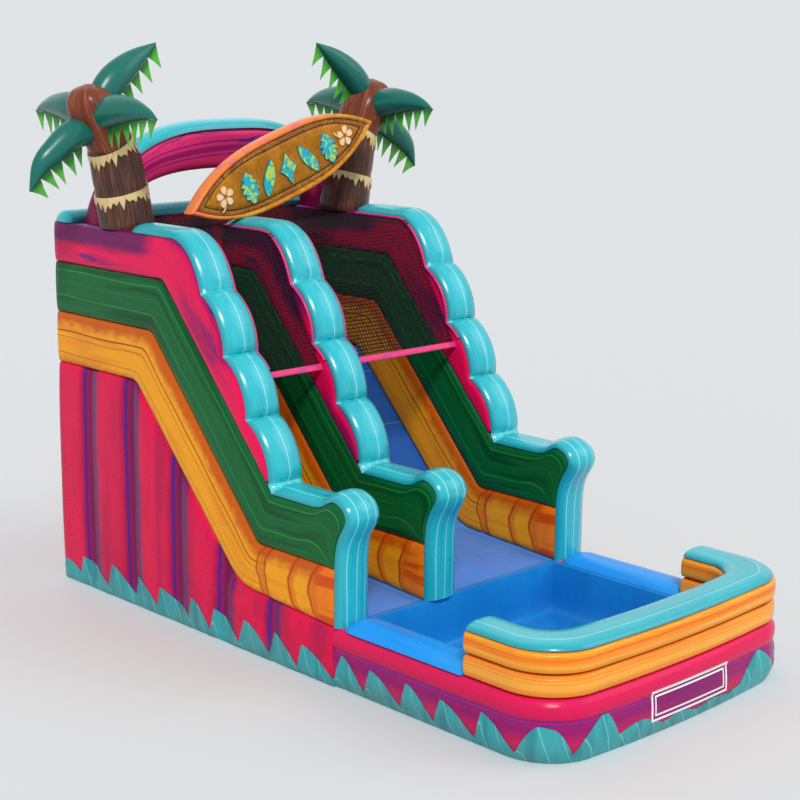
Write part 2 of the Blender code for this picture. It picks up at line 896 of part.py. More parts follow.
def palm(side, toward, materials):
    base = at(toward * (half_width - palm_inset), palm_depth, wall_top + gap)
    top = base + Vector((toward * trunk_lean, 0.0, trunk_height))
    trunk = [
        level_ring(base, trunk_radius),
        level_ring(base.lerp(top, 0.5), trunk_radius),
        level_ring(top, trunk_top_radius),
    ]
    loft(f"trunk_{side}", trunk, materials["trunk"])

    start = top + Vector((0.0, 0.0, gap))
    end = at(base.x + toward * crown_lean, palm_depth, wall_top + crown_top)
    loft(f"crown_{side}", crown_rings(start, end, 0.0), materials["crown"])
    clear = loft(f"crown_{side}_clear", crown_rings(start, end, gap), is_cutter=True)

    root_x = base.x + toward * crown_lean * frond_root_lean_share
    root = at(root_x, palm_depth, wall_top + frond_root_height)
    fronds = {
        "outer": (Vector((toward, 0.0, 0.0)), frond_droop_shares),
        "inner": (Vector((-toward, 0.0, 0.0)), frond_raised_shares),
        "front": (Vector((0.0, -1.0, 0.0)), frond_level_shares),
        "back": (Vector((0.0, 1.0, 0.0)), frond_level_shares),
    }
    for place, (direction, shares) in fronds.items():
        cut(frond(f"frond_{side}_{place}", root, direction, shares, materials["frond"]), clear)


def frond(name, root, direction, shares, material):
    """A leaf blown up like a horn: full at its root, pointed at its tip, flatter underneath."""
    up = Vector((0.0, 0.0, 1.0))
    across = direction.cross(up)
    centres = [root + (direction * r + up * z) * frond_length for r, z, full in shares]
    rings = []
    for i, (r, z, full) in enumerate(shares):
        before = centres[max(i - 1, 0)]
        after = centres[min(i + 1, len(centres) - 1)]
        along = (after - before).normalized()
        normal = across.cross(along).normalized()
        if normal.z < 0:
            normal = -normal
        ring = []
        for k in range(frond_sides):
            angle = 2 * math.pi * (k + 0.5) / frond_sides
            rise = math.sin(angle) * (1 if math.sin(angle) > 0 else frond_underside_share)
            ring.append(
                centres[i]
                + across * (math.cos(angle) * frond_half_width * full)
                + normal * (rise * frond_half_depth * full)
            )
        rings.append(ring)
    return loft(name, rings, material)


def surfboard(length, height):
    """The sign's outline: two equal curves that meet in blunt tips."""
    points = []
    for turn in (1, -1):
        for step in range(sign_steps):
            u = turn * (1 - 2 * step / sign_steps)
            points.append((u * length / 2, turn * height / 2 * (1 - abs(u) ** sign_fullness)))
    return points


def lowest_at(outline, turn, x):
    """The height of an outline's lower side at x, once the outline is turned."""
    points = [Matrix.Rotation(turn, 2) @ Vector(point) for point in outline]
    heights = []
    for a, b in zip(points, points[1:] + points[:1]):
        if min(a.x, b.x) <= x < max(a.x, b.x):
            heights.append(a.lerp(b, (x - a.x) / (b.x - a.x)).y)
    return min(heights)


def sign(materials):
    """The sign stands on the middle wall's cap, tilted up to the right."""
    outline = surfboard(sign_length, sign_height)
    below = lowest_at(outline, sign_tilt, middle_x - sign_centre_offset)
    centre_height = wall_top + cap_crown + gap - sign_seat_depth - below
    edge, creases, _ = cap_path(0.0)
    level, folds = path_from(edge, creases, 0.0)
    seat = cap(
        "sign_seat",
        level,
        folds,
        middle_left,
        middle_right,
        None,
        crown=cap_crown + gap,
        is_cutter=True,
        clearance=gap,
    )

    def board(name, outline, thickness, material=None):
        solid = flat_solid(name, outline, thickness, None, is_cutter=not material)
        place = at(sign_centre_offset, sign_depth + sign_thickness / 2, centre_height)
        turn = Matrix.Rotation(math.pi / 2, 4, "X") @ Matrix.Rotation(sign_tilt, 4, "Z")
        solid.matrix_world = Matrix.Translation(place) @ turn
        solid = meshed(solid)
        if material:
            solid.data.materials.append(material)
        return solid

    rim_thickness = sign_thickness + 2 * sign_rim_proud
    board("sign_board", inset(outline, sign_rim + gap), sign_thickness, materials["board"])
    rim = board("sign_rim", outline, rim_thickness, materials["orange"])
    window = board("sign_window", inset(outline, sign_rim), rim_thickness + overrun)
    cut(rim, window)
    cut(rim, seat)


# Nets


def net(name, x_low, x_high, line, cells, hem, material):
    """A flat net laid along a (depth, height) line, with square cells and a plain hem at its far end."""
    lengths = [0.0]
    for a, b in zip(line, line[1:]):
        lengths.append(lengths[-1] + (Vector(b) - Vector(a)).length)
    total = lengths[-1]

    def place(distance):
        for i in range(len(line) - 1):
            if distance <= lengths[i + 1] or i == len(line) - 2:
                share = (distance - lengths[i]) / (lengths[i + 1] - lengths[i])
                return Vector(line[i]).lerp(Vector(line[i + 1]), share)

    mesh = bpy.data.meshes.new(name)
    body = bmesh.new()
    across, along = cells
    netting = total - hem
    rows = [0.0]
    for start, end in zip(lengths, [*lengths[1:-1], netting]):
        count = max(1, round(along * (end - start) / netting))
        rows += [start + (end - start) * (i + 1) / count for i in range(count)]
    bmesh.ops.create_grid(body, x_segments=across, y_segments=len(rows) - 1, size=0.5)
    for vert in body.verts:
        vert.co.x = (vert.co.x + 0.5) * (x_high - x_low)
        vert.co.y = rows[round((vert.co.y + 0.5) * (len(rows) - 1))]
    panes = list(body.faces)
    bmesh.ops.inset_individual(body, faces=panes, thickness=net_strand, use_even_offset=True)
    bmesh.ops.delete(body, geom=panes, context="FACES")
    if hem:
        edge = [e for e in body.edges if all(abs(v.co.y - netting) < gap for v in e.verts)]
        made = bmesh.ops.extrude_edge_only(body, edges=edge)
        moved = [v for v in made["geom"] if isinstance(v, bmesh.types.BMVert)]
        bmesh.ops.translate(body, vec=(0.0, hem, 0.0), verts=moved)
    for vert in body.verts:
        depth, height = place(vert.co.y)
        vert.co = at(x_low + vert.co.x, depth, height)
    bmesh.ops.recalc_face_normals(body, faces=body.faces)
    body.to_mesh(mesh)
    body.free()
    obj = add_object(name, mesh, material)
    modifier = obj.modifiers.new("thickness", "SOLIDIFY")
    modifier.thickness = net_thickness
    modifier.offset = 0.0
    return obj


def nets(material):
    height = wall_top - gap - net_thickness
    net(
        "roof_net",
        left_inner + gap,
        right_inner - gap,
        [(rear_thickness + gap, height), (deck_depth - gap, height)],
        roof_net_cells,
        0.0,
        material,
    )
    slope = (slope_foot_depth - slope_top_depth) / (wall_top - arm_height)
    knee = (slope_top_depth, height)
    foot = (slope_top_depth + slope * (wall_top - net_foot_height), net_foot_height)
    line = [(deck_depth + gap, height), knee, foot]
    net("climb_net", left_inner + gap, middle_left - gap, line, climb_net_cells, net_hem, material)
    net("slide_net", middle_right + gap, right_inner - gap, line, slide_net_cells, net_hem, material)


# Fittings


def air_sleeve(material):
    centre = at(sleeve_offset, -sleeve_length / 2, sleeve_height)
    length = sleeve_length - gap
    centre.y += gap / 2
    inside = sleeve_radius - sleeve_film
    tube = drum("air_sleeve", centre, (0, 1, 0), sleeve_radius, length, sleeve_sides, material)
    bore = drum("air_sleeve_bore", centre, (0, 1, 0), inside, length + overrun, sleeve_sides, is_cutter=True)
    return cut(tube, bore)


def deflation_port(materials):
    """A zip under a flap: the tape is welded to the back, the slider runs along it, the flap swings up."""
    tape_half = zip_tape_width / 2
    left = zip_offset - zip_length / 2
    right = zip_offset + zip_length / 2
    box(
        "zip_tape",
        (left, -gap - zip_tape_thickness, zip_height - tape_half),
        (right, -gap, zip_height + tape_half),
        materials["tape"],
    )
    wide, deep, tall = slider_size
    back = -2 * gap - zip_tape_thickness
    start = left + wide / 2
    slider = box(
        "zip_slider",
        (start, back - deep, zip_height - tall / 2),
        (start + wide, back, zip_height + tall / 2),
        materials["steel"],
    )
    set_origin(slider, at(start + wide / 2, back - deep / 2, zip_height))

    hinge_height = zip_height + tape_half + flap_overlap
    hinge = at(zip_offset, -gap - flap_hem_radius, hinge_height)
    hem_length = zip_length + 2 * flap_overlap
    flap = drum("zip_flap", hinge, (1, 0, 0), flap_hem_radius, hem_length, flap_hem_sides, materials["flap"])
    outside = -gap - 2 * flap_hem_radius
    sheet = box(
        "zip_flap_sheet",
        (zip_offset - hem_length / 2, outside, hinge_height - flap_drop),
        (zip_offset + hem_length / 2, outside + flap_thickness, hinge_height),
        is_cutter=True,
    )
    combine(flap, sheet, "UNION")
    set_origin(flap, hinge)


def set_origin(obj, point):
    """Puts an object's origin on its joint's axis and leaves its solid where it is."""
    bpy.context.view_layer.update()
    obj.data.transform(Matrix.Translation(-point))
    obj.location = point


def anchor(name, place, outward, materials):
    """A webbing tab with a steel D-ring that swings in its loop. outward points away from the wall."""
    across = outward.cross(Vector((0, 0, 1)))
    frame = Matrix((across, outward, Vector((0, 0, 1)))).transposed().to_4x4()
    frame = Matrix.Translation(place) @ frame
    hang = gap + loop_radius

    mesh = bpy.data.meshes.new("tab_" + name)
    body = bmesh.new()
    bmesh.ops.create_cube(body, size=1.0)
    bmesh.ops.scale(body, vec=(tab_width, tab_thickness, tab_height), verts=body.verts)
    bmesh.ops.translate(body, vec=(0.0, gap + tab_thickness / 2, tab_height / 2), verts=body.verts)
    bmesh.ops.transform(body, matrix=frame, verts=body.verts)
    body.to_mesh(mesh)
    body.free()
    tab = add_object("tab_" + name, mesh, materials["webbing"])
    eye = frame @ Vector((0.0, hang, 0.0))
    loop = drum("loop_" + name, eye, across, loop_radius, loop_length, loop_sides, is_cutter=True)
    through = loop_length + overrun
    bore = drum("bore_" + name, eye, across, loop_bore_radius, through, loop_sides, is_cutter=True)
    combine(tab, loop, "UNION")
    cut(tab, bore)

    curve = bpy.data.curves.new("ring_" + name, "CURVE")
    curve.dimensions = "3D"
    curve.bevel_depth = ring_wire_radius
    curve.bevel_resolution = 2
    points = [(-ring_half_width, 0.0, 0.0), (ring_half_width, 0.0, 0.0)]
    straight = ring_drop - ring_half_width
    for step in range(ring_corner_steps + 1):
        turn = math.pi * step / ring_corner_steps
        points.append((ring_half_width * math.cos(turn), 0.0, -straight - ring_half_width * math.sin(turn)))
    spline = curve.splines.new("POLY")
    spline.points.add(len(points) - 1)
    for target, point in zip(spline.points, points):
        target.co = (*point, 1.0)
    spline.use_cyclic_u = True
    ring = add_object("ring_" + name, curve, materials["steel"])
    ring.matrix_world = frame @ Matrix.Translation((0.0, hang, 0.0))


def main():
    clear_scene()
    materials = {
        "pink": vinyl("pink vinyl", (0.86, 0.02, 0.12)),
        "orange": vinyl("orange vinyl", (0.87, 0.30, 0.03)),
        "green": vinyl("green vinyl", (0.012, 0.15, 0.045)),
        "teal": vinyl("teal vinyl", (0.03, 0.55, 0.63)),
        "periwinkle": vinyl("deck vinyl", (0.11, 0.27, 0.75)),
        "pool": vinyl("pool vinyl", (0.01, 0.19, 0.58)),
        "coping": vinyl("coping vinyl", (0.02, 0.31, 0.88)),
        "trunk": vinyl("bark print", (0.15, 0.05, 0.035), 0.4),
        "crown": vinyl("crown print", (0.21, 0.05, 0.025), 0.4),
        "frond": vinyl("leaf vinyl", (0.013, 0.21, 0.16)),
        "board": vinyl("board print", (0.48, 0.19, 0.01), 0.45),
        "net": vinyl("net cord", (0.01, 0.01, 0.012), 0.7),
        "webbing": vinyl("webbing", (0.02, 0.02, 0.02), 0.8),
        "flap": vinyl("flap vinyl", (0.86, 0.02, 0.12)),
        "tape": vinyl("zip tape", (0.02, 0.02, 0.02), 0.6),
        "sleeve": vinyl("sleeve cloth", (0.05, 0.06, 0.09), 0.7),
        "steel": vinyl("steel", (0.6, 0.6, 0.62), 0.25, 1.0),
    }
    flank("left_flank", left_outer, left_inner, 0.0, materials["pink"])
    flank("right_flank", right_inner, right_outer, 0.0, materials["pink"])
    flank("centre_web", middle_left, middle_right, deck_depth, materials["periwinkle"])
    wall("left", left_outer, left_inner, 0.0, side_cap_start, materials)
    wall("middle", middle_left, middle_right, deck_depth, middle_cap_start, materials)
    wall("right", right_inner, right_outer, 0.0, side_cap_start, materials)

    low, high = left_inner + gap / 2, right_inner - gap / 2
    rear_top = deck_height - gap
    rear_flank = box("rear_flank", (low, 0.0, 0.0), (high, rear_thickness, rear_top), materials["pink"])
    soften(rear_flank, band_puff)
    hollow_below = box(
        "rear_flank_core",
        (low + flank_film, flank_film, -overrun),
        (high - flank_film, rear_thickness - flank_film, deck_height - flank_film),
        is_cutter=True,
    )
    cut(rear_flank, hollow_below)
    air_way = drum(
        "rear_flank_air_way",
        at(sleeve_offset, flank_film / 2, sleeve_height),
        (0, 1, 0),
        sleeve_radius - sleeve_film,
        flank_film + 2 * overrun,
        sleeve_sides,
        is_cutter=True,
    )
    cut(rear_flank, air_way)
    rear_wall = box("rear_wall", (low, 0.0, deck_height), (high, rear_thickness, wall_top), materials["pink"])
    soften(rear_wall, band_puff)
    rear_core = [
        (0.0, deck_height),
        (rear_thickness, deck_height),
        (rear_thickness, wall_top),
        (0.0, wall_top),
    ]
    vent = ((rear_thickness / 3, deck_height - film), (2 * rear_thickness / 3, deck_height))
    hollow("rear_wall", rear_wall, rear_core, low, high, vent)

    deck_top = deck_height - gap / 2
    box(
        "platform_deck",
        (low, rear_thickness + gap, deck_top - bed_thickness),
        (high, deck_depth - gap, deck_top),
        materials["periwinkle"],
    )
    bed("slide_bed", middle_right, right_inner, materials["periwinkle"])
    climb = bed("climb_bed", left_inner, middle_left, materials["periwinkle"])
    steps_on(climb, left_inner, middle_left)
    for name, depth in slide_web_depths.items():
        web(name, depth, middle_right, right_inner, materials["periwinkle"])
    web("climb_baffle", climb_web_depth, left_inner, middle_left, materials["periwinkle"])

    pool(materials)
    rear_tube(materials["teal"])
    arches(materials)
    palm("left", -1, materials)
    palm("right", 1, materials)
    sign(materials)
    nets(materials["net"])

    air_sleeve(materials["sleeve"])
    deflation_port(materials)
    back = Vector((0.0, 1.0, 0.0))
    anchor("rear_left", at(left_outer + anchor_inset, 0.0, anchor_height), back, materials)
    anchor("rear_right", at(right_outer - anchor_inset, 0.0, anchor_height), back, materials)
    side = Vector((1.0, 0.0, 0.0))
    anchor("right_side", at(right_outer, side_anchor_depth, anchor_height), side, materials)


main()
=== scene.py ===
from math import asin, atan2, ceil, copysign, cos, exp, pi, radians, sin, sqrt, tan

import bmesh
import bpy
from mathutils import Matrix, Vector, noise


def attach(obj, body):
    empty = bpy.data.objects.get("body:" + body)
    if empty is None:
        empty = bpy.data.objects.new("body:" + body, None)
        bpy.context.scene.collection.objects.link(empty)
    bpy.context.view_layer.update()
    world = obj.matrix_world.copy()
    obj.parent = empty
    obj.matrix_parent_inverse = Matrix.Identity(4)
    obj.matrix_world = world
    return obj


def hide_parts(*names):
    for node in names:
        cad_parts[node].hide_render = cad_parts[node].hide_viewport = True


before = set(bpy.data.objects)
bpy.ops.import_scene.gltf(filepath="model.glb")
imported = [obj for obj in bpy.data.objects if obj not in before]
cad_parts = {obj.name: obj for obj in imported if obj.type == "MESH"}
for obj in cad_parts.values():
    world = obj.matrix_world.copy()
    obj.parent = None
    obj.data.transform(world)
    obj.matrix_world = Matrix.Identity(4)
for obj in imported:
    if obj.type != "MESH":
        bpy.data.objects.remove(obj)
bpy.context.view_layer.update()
print("frame loaded")

# Shared sizes in metres; depth runs forward from the tower's back face
tower = dict(
    originDepth=3.0975,
    leftOuter=-1.59, leftInner=-1.21, middleLeft=-0.535, middleRight=-0.155, rightInner=1.21, rightOuter=1.59,
    depth=4.055, rear=0.275, deckDepth=1.27,
    runout=0.52, deck=2.22, orangeTop=2.72, greenTop=3.21, top=3.6, arm=1.52, orangeFront=1.035,
    bedFoot=(2.79, 0.6), orangeKnee=1.54, orangeFoot=3.05, greenKnee=1.722,
    kneeRadius=0.15, footRadius=0.45, bandRadius=0.1,
)
deckDepth, wallEnd = tower["deckDepth"], tower["depth"]
deckTop, runout, wallTop, armTop = tower["deck"], tower["runout"], tower["top"], tower["arm"]
outerSide, innerSide = tower["rightOuter"], tower["rightInner"]
deckEdge, runoutEdge = (deckDepth, deckTop), (wallEnd, runout)
orangeKnee, orangeFoot = (tower["orangeKnee"], tower["orangeTop"]), (tower["orangeFoot"], tower["orangeFront"])
leftWall, rightWall = (tower["leftOuter"], tower["leftInner"]), (innerSide, outerSide)
middleWall = (tower["middleLeft"], tower["middleRight"])
climbLane, slideLane = (tower["leftInner"], tower["middleLeft"]), (tower["middleRight"], innerSide)
hair = 0.0003  # clearance between touching pieces
fullTurn = 2 * pi


def at(x, depth, height):
    return Vector((x, tower["originDepth"] - depth, height))


def colour(code):
    # a hex colour as linear values
    parts = [int(code[i:i + 2], 16) / 255 for i in (0, 2, 4)]
    return tuple(c / 12.92 if c <= 0.04045 else ((c + 0.055) / 1.055) ** 2.4 for c in parts) + (1.0,)


def smoothStep(low, high, value):
    t = min(1.0, max(0.0, (value - low) / (high - low)))
    return t * t * (3 - 2 * t)


def swell(share):
    # rises steeply from 0 and rounds off at 1
    return sqrt(max(0.0, 1 - (1 - min(1.0, share)) ** 2))


def power(value, exponent):
    return copysign(abs(value) ** exponent, value)


def steps(count):
    return [i / count for i in range(count + 1)]


def spread(low, high, count):
    return [low + (high - low) * share for share in steps(count)]


def circle(count):
    return [(cos(fullTurn * k / count), sin(fullTurn * k / count)) for k in range(count)]


def andBack(values):
    # over one face and back over the other
    return values + values[::-1]


def foldNear(value, places, width):
    return max([exp(-((value - each) / width) ** 2) for each in places] or [0.0])


# Lines in the side plane

def roundedLine(corners, radii, arcSteps=8):
    line = [Vector(corners[0])]
    for before, corner, after, radius in zip(corners, corners[1:], corners[2:], radii):
        corner = Vector(corner)
        back, ahead = Vector(before) - corner, Vector(after) - corner
        half = back.angle(ahead) / 2
        tangent = min(radius / tan(half), back.length / 2, ahead.length / 2)
        radius = tangent * tan(half)
        back.normalize()
        ahead.normalize()
        centre = corner + (back + ahead).normalized() * (radius / sin(half))
        start = corner + back * tangent - centre
        sweep = start.angle_signed(corner + ahead * tangent - centre)
        line += [centre + Matrix.Rotation(-sweep * share, 2) @ start for share in steps(arcSteps)]
    line.append(Vector(corners[-1]))
    return line


def normalTo(run):
    return Vector((-run.y, run.x)).normalized()


def offsetLine(line, distance):
    # moved to its left, with mitred corners
    moved = []
    for i, point in enumerate(line):
        runs = [line[b] - line[a] for a, b in ((i - 1, i), (i, i + 1)) if 0 <= a and b < len(line)]
        normals = [normalTo(run) for run in runs if run.length > 1e-6]
        normal = sum(normals, Vector((0.0, 0.0))).normalized()
        moved.append(point + normal * (distance / max(0.45, normal.dot(normals[0]))))
    return moved


def lengthsOf(line):
    lengths = [0.0]
    for a, b in zip(line, line[1:]):
        lengths.append(lengths[-1] + (b - a).length)
    return lengths


def pointAt(line, lengths, distance):
    distance = min(max(distance, 0.0), lengths[-1])
    for i in range(len(line) - 1):
        if distance <= lengths[i + 1] or i == len(line) - 2:
            run = lengths[i + 1] - lengths[i]
            return line[i].lerp(line[i + 1], (distance - lengths[i]) / run if run else 0.0)


def evenly(line, count):
    lengths = lengthsOf(line)
    return [pointAt(line, lengths, lengths[-1] * i / count) for i in range(count + 1)]


def resample(line, spacing):
    return evenly(line, round(lengthsOf(line)[-1] / spacing))


def heightOn(line, depth):
    for a, b in zip(line, line[1:]):
        if a.x <= depth <= b.x and b.x > a.x:
            return a.y + (b.y - a.y) * (depth - a.x) / (b.x - a.x)
    return line[-1].y


def stopsOn(line, lengths, ties):
    near = [min(range(len(line)), key=lambda i: (line[i] - Vector(tie)).length) for tie in ties]
    return [0.0, *(lengths[i] for i in near), lengths[-1]]


def rungs(lower, upper, ties, spacing=0.045):
    # matched points on two tied lines: (lower, upper, distance along)
    lowLengths, highLengths = lengthsOf(lower), lengthsOf(upper)
    lowStops = stopsOn(lower, lowLengths, [low for low, high in ties])
    highStops = stopsOn(upper, highLengths, [high for low, high in ties])
    rows = []
    along = 0.0
    for i in range(len(lowStops) - 1):
        lowRun, highRun = lowStops[i + 1] - lowStops[i], highStops[i + 1] - highStops[i]
        run = max(lowRun, highRun)
        count = max(2, round(run / spacing))
        for j in range(count if i < len(lowStops) - 2 else count + 1):
            t = j / count
            low = pointAt(lower, lowLengths, lowStops[i] + lowRun * t)
            high = pointAt(upper, highLengths, highStops[i] + highRun * t)
            rows.append((low, high, along + run * t))
        along += run
    return rows


def bedLine(backDepth):
    slope = [deckEdge, tower["bedFoot"], runoutEdge]
    if backDepth < deckDepth:
        return roundedLine([(backDepth, deckTop), *slope], [tower["kneeRadius"], tower["footRadius"]])
    return roundedLine(slope, [tower["footRadius"]])


def orangeLine(backDepth):
    corners = [(backDepth, tower["orangeTop"]), orangeKnee, orangeFoot, (wallEnd, tower["orangeFront"])]
    return roundedLine(corners, [tower["bandRadius"]] * 2)


def greenLine(backDepth):
    corners = [(backDepth, tower["greenTop"]), (tower["greenKnee"], tower["greenTop"]),
            (capEdge["slopeFoot"], armTop)]
    return roundedLine(corners, [tower["bandRadius"]])


capEdge = dict(
    crown=0.08, slopeTop=2.03, slopeFoot=3.25, scallop=0.597, bulge=0.085, plainFoot=0.085, valley=0.5,
    shoulder=0.13, armEnd=3.79, scrollRise=0.09, scrollReach=0.128, scallopSteps=12,
    sideStart=1.19, middleStart=1.31, tongue=0.16, sideBlunt=0.32, middleBlunt=0.9, columns=18,
)
scrollRise = [(0.37, 0.21), (0.68, 0.72), (0.97, 1.0)]
scrollDrop = [(0.62, -0.12), (1.0, 0.0), (1.0, 0.14), (0.4, 0.42), (0.1, 0.68)]


def throughPoints(points, count=4):
    # a smooth curve through points
    line = []
    for i in range(len(points) - 1):
        p0, p1 = points[max(i - 1, 0)], points[i]
        p2, p3 = points[i + 1], points[min(i + 2, len(points) - 1)]
        for t in steps(count)[:-1]:
            line.append(0.5 * (2 * p1 + (p2 - p0) * t + (2 * p0 - 5 * p1 + 4 * p2 - p3) * t * t
                    + (3 * p1 - p0 - 3 * p2 + p3) * t ** 3))
    line.append(points[-1])
    return line


def edgePath(backDepth):
    # the wall's edge: down the scallops, along the arm, round the scroll and down the post
    c = capEdge
    top = Vector((c["slopeTop"], wallTop))
    foot = Vector((c["slopeFoot"], armTop))
    run = (foot - top).normalized()
    last = (foot - top).length - c["plainFoot"]
    count = max(1, round(last / c["scallop"]) - 1)
    valleys = [top + run * (last - c["scallop"] * (count - i)) for i in range(count + 1)]
    start = Vector((c["slopeTop"] - c["shoulder"], wallTop))
    corner = top + Vector((c["shoulder"], -c["bulge"] / 2))
    shares = steps(c["scallopSteps"])[:-1]
    line = [Vector((backDepth, wallTop))]
    line += [(1 - t) ** 2 * start + 2 * t * (1 - t) * corner + t ** 2 * valleys[0] for t in shares]
    creases = []
    for first, second in zip(valleys, valleys[1:]):
        creases.append(len(line))
        chord = second - first
        normal = normalTo(chord)
        radius = (chord.length ** 2 / 4 + c["bulge"] ** 2) / (2 * c["bulge"])
        half = asin(chord.length / (2 * radius))
        centre = (first + second) / 2 + normal * (c["bulge"] - radius)
        for t in shares:
            angle = half * (2 * t - 1)
            line.append(centre + (chord.normalized() * sin(angle) + normal * cos(angle)) * radius)
    creases.append(len(line))
    line.append(valleys[-1])
    footIndex = len(line)
    line.append(foot)
    reach = wallEnd - c["armEnd"]
    drop = armTop - tower["orangeFront"]
    scroll = [Vector((c["armEnd"], armTop))]
    scroll += [Vector((c["armEnd"] + a * reach, armTop + b * c["scrollRise"])) for a, b in scrollRise]
    scroll += [Vector((wallEnd + a * c["scrollReach"], armTop - b * drop)) for a, b in scrollDrop]
    scroll += [Vector((wallEnd, tower["orangeFront"]))]
    line += throughPoints(scroll)
    line.append(Vector((wallEnd, runout + hair)))
    return line, creases, footIndex


# Shader helpers; each works in the tree of the sockets it gets

def isSocket(value):
    return isinstance(value, bpy.types.NodeSocket)


def feed(socket, value):
    if isSocket(value):
        socket.id_data.links.new(value, socket)
    else:
        socket.default_value = value


def fedNode(kind, inputs, **settings):
    # the outputs of a new node, its inputs fed by label or place
    tree = next(value.id_data for value in inputs.values() if isSocket(value))
    node = tree.nodes.new("ShaderNode" + kind)
    for label, value in settings.items():
        setattr(node, label, value)
    for label, value in inputs.items():
        feed(node.inputs[label], value)
    return node.outputs


def maths(operation, *values):
    values = (values + (0.0, 0.0))[:3]
    return fedNode("Math", dict(enumerate(values)), operation=operation)[0]


def times(a, b):
    return maths("MULTIPLY", a, b)


def away(value, centre):
    return maths("ABSOLUTE", maths("SUBTRACT", value, centre))


def drift(value, amount, base):
    # the base shifted either way by a value that runs from 0 to 1
    return maths("MULTIPLY_ADD", maths("SUBTRACT", value, 0.5), amount, base)


def mixed(factor, first, second, blend="MIX"):
    return fedNode("Mix", {0: factor, 6: first, 7: second}, data_type="RGBA", blend_type=blend)[2]


def noiseOf(vector, scale, detail=3.0, distortion=0.0):
    inputs = {"Vector": vector, "Scale": scale, "Detail": detail, "Distortion": distortion}
    return fedNode("TexNoise", inputs)["Fac"]


def cellsOf(vector, scale):
    return fedNode("TexVoronoi", {"Vector": vector, "Scale": scale})["Distance"]


def stepped(value, low, high):
    # 0 below low, 1 above high, smooth between
    inputs = {"Value": value, "From Min": low, "From Max": high}
    return fedNode("MapRange", inputs, interpolation_type="SMOOTHSTEP")["Result"]


def parted(vector):
    return fedNode("SeparateXYZ", {0: vector})


def joined(*parts):
    return fedNode("CombineXYZ", dict(enumerate(parts)))[0]


def placed(group, **values):
    return fedNode("Group", values, node_tree=group)


def newGroup(name, outputs, **inputs):
    # an input is a vector where it has no value, a colour where its value has parts
    tree = bpy.data.node_groups.new(name, "ShaderNodeTree")
    for label, value in inputs.items():
        kind = "Vector" if value is None else "Color" if isinstance(value, tuple) else "Float"
        socket = tree.interface.new_socket(label, in_out="INPUT", socket_type="NodeSocket" + kind)
        if value is not None:
            socket.default_value = value
    for label in outputs:
        kind = "Color" if label == "Colour" else "Float"
        tree.interface.new_socket(label, in_out="OUTPUT", socket_type="NodeSocket" + kind)
    return tree, tree.nodes.new("NodeGroupInput").outputs, tree.nodes.new("NodeGroupOutput").inputs


def makeLineMask():
    # a soft line where Value is near Centre
    tree, given, result = newGroup("lineMask", ["Mask"], Value=0.0, Centre=0.5, Width=0.01)
    half = times(given["Width"], 0.5)
    feed(result["Mask"], stepped(away(given["Value"], given["Centre"]), times(half, 1.4), times(half, 0.6)))
    return tree


def makeMarble():
    # printed streaks along Y: broad patches, fine veins and strokes
    tree, given, result = newGroup(
        "marbleStreaks", ["Patches", "Veins", "Strokes"], Vector=None, Across=6.0, Along=1.0, Waver=0.2, Seed=0.0)
    x, y, z = parted(given["Vector"])
    slow = joined(times(x, 1.3), y, given["Seed"])
    side = maths("ADD", x, times(maths("SUBTRACT", noiseOf(slow, 1.6, 2.0), 0.5), given["Waver"]))
    drawn = joined(times(side, given["Across"]), times(y, given["Along"]), given["Seed"])
    feed(result["Patches"], stepped(noiseOf(drawn, 1.0, 2.0, 0.3), 0.46, 0.66))
    feed(result["Veins"], stepped(away(noiseOf(drawn, 1.7, 1.0, 0.2), 0.5), 0.035, 0.008))
    feed(result["Strokes"], noiseOf(drawn, 5.0, 4.0))
    return tree


def makeTarpaulin():
    # faint tone changes, dust near the ground, wrinkles beside the seams and a fine weave
    tree, given, result = newGroup(
        "coatedCloth", ["Colour", "Roughness", "Height"],
        Colour=(0.8, 0.8, 0.8, 1.0), Tone=0.12, Dust=0.25, Wrinkles=1.0, Edge=0.5)
    place = tree.nodes.new("ShaderNodeTexCoord").outputs["Object"]
    cloud = noiseOf(place, 1.7, 4.0)
    speck = noiseOf(place, 34.0, 3.0)
    lift = maths("ADD", drift(cloud, given["Tone"], 1.0), times(maths("SUBTRACT", speck, 0.5), 0.05))
    toned = mixed(1.0, given["Colour"], joined(lift, lift, lift), "MULTIPLY")
    low = stepped(parted(place)[2], 0.32, 0.0)
    dirt = times(times(low, stepped(cloud, 0.35, 0.75)), given["Dust"])
    feed(result["Colour"], mixed(dirt, toned, (0.2, 0.16, 0.11, 1.0)))
    rough = maths("ADD", maths("MULTIPLY_ADD", speck, 0.12, 0.2), times(dirt, 0.5))
    feed(result["Roughness"], drift(cloud, 0.12, rough))
    large = fedNode("VectorMath", {0: place, 1: (5.0, 5.0, 5.0)}, operation="MULTIPLY")[0]
    nearSeam = stepped(away(given["Edge"], 0.5), 0.26, 0.5)
    wrinkle = times(noiseOf(large, 2.2, 2.0, 1.2), times(nearSeam, given["Wrinkles"]))
    feed(result["Height"], maths("MULTIPLY_ADD", cellsOf(place, 260.0), 0.03, times(wrinkle, 0.9)))
    return tree


lineMask = makeLineMask()
marble = makeMarble()
tarpaulin = makeTarpaulin()
print("shader groups made")


def lines(value, centres, width):
    # the strongest of several line masks
    total = None
    for centre in centres:
        mask = placed(lineMask, Value=value, Centre=centre, Width=width)["Mask"]
        total = mask if total is None else maths("MAXIMUM", total, mask)
    return total


def ramp(value, stops):
    # colours at places along a value
    output = fedNode("ValToRGB", {0: value})["Color"]
    elements = output.node.color_ramp.elements
    while len(elements) < len(stops):
        elements.new(0.5)
    for element, (spot, code) in zip(elements, stops):
        element.position = spot
        element.color = colour(code)
    return output


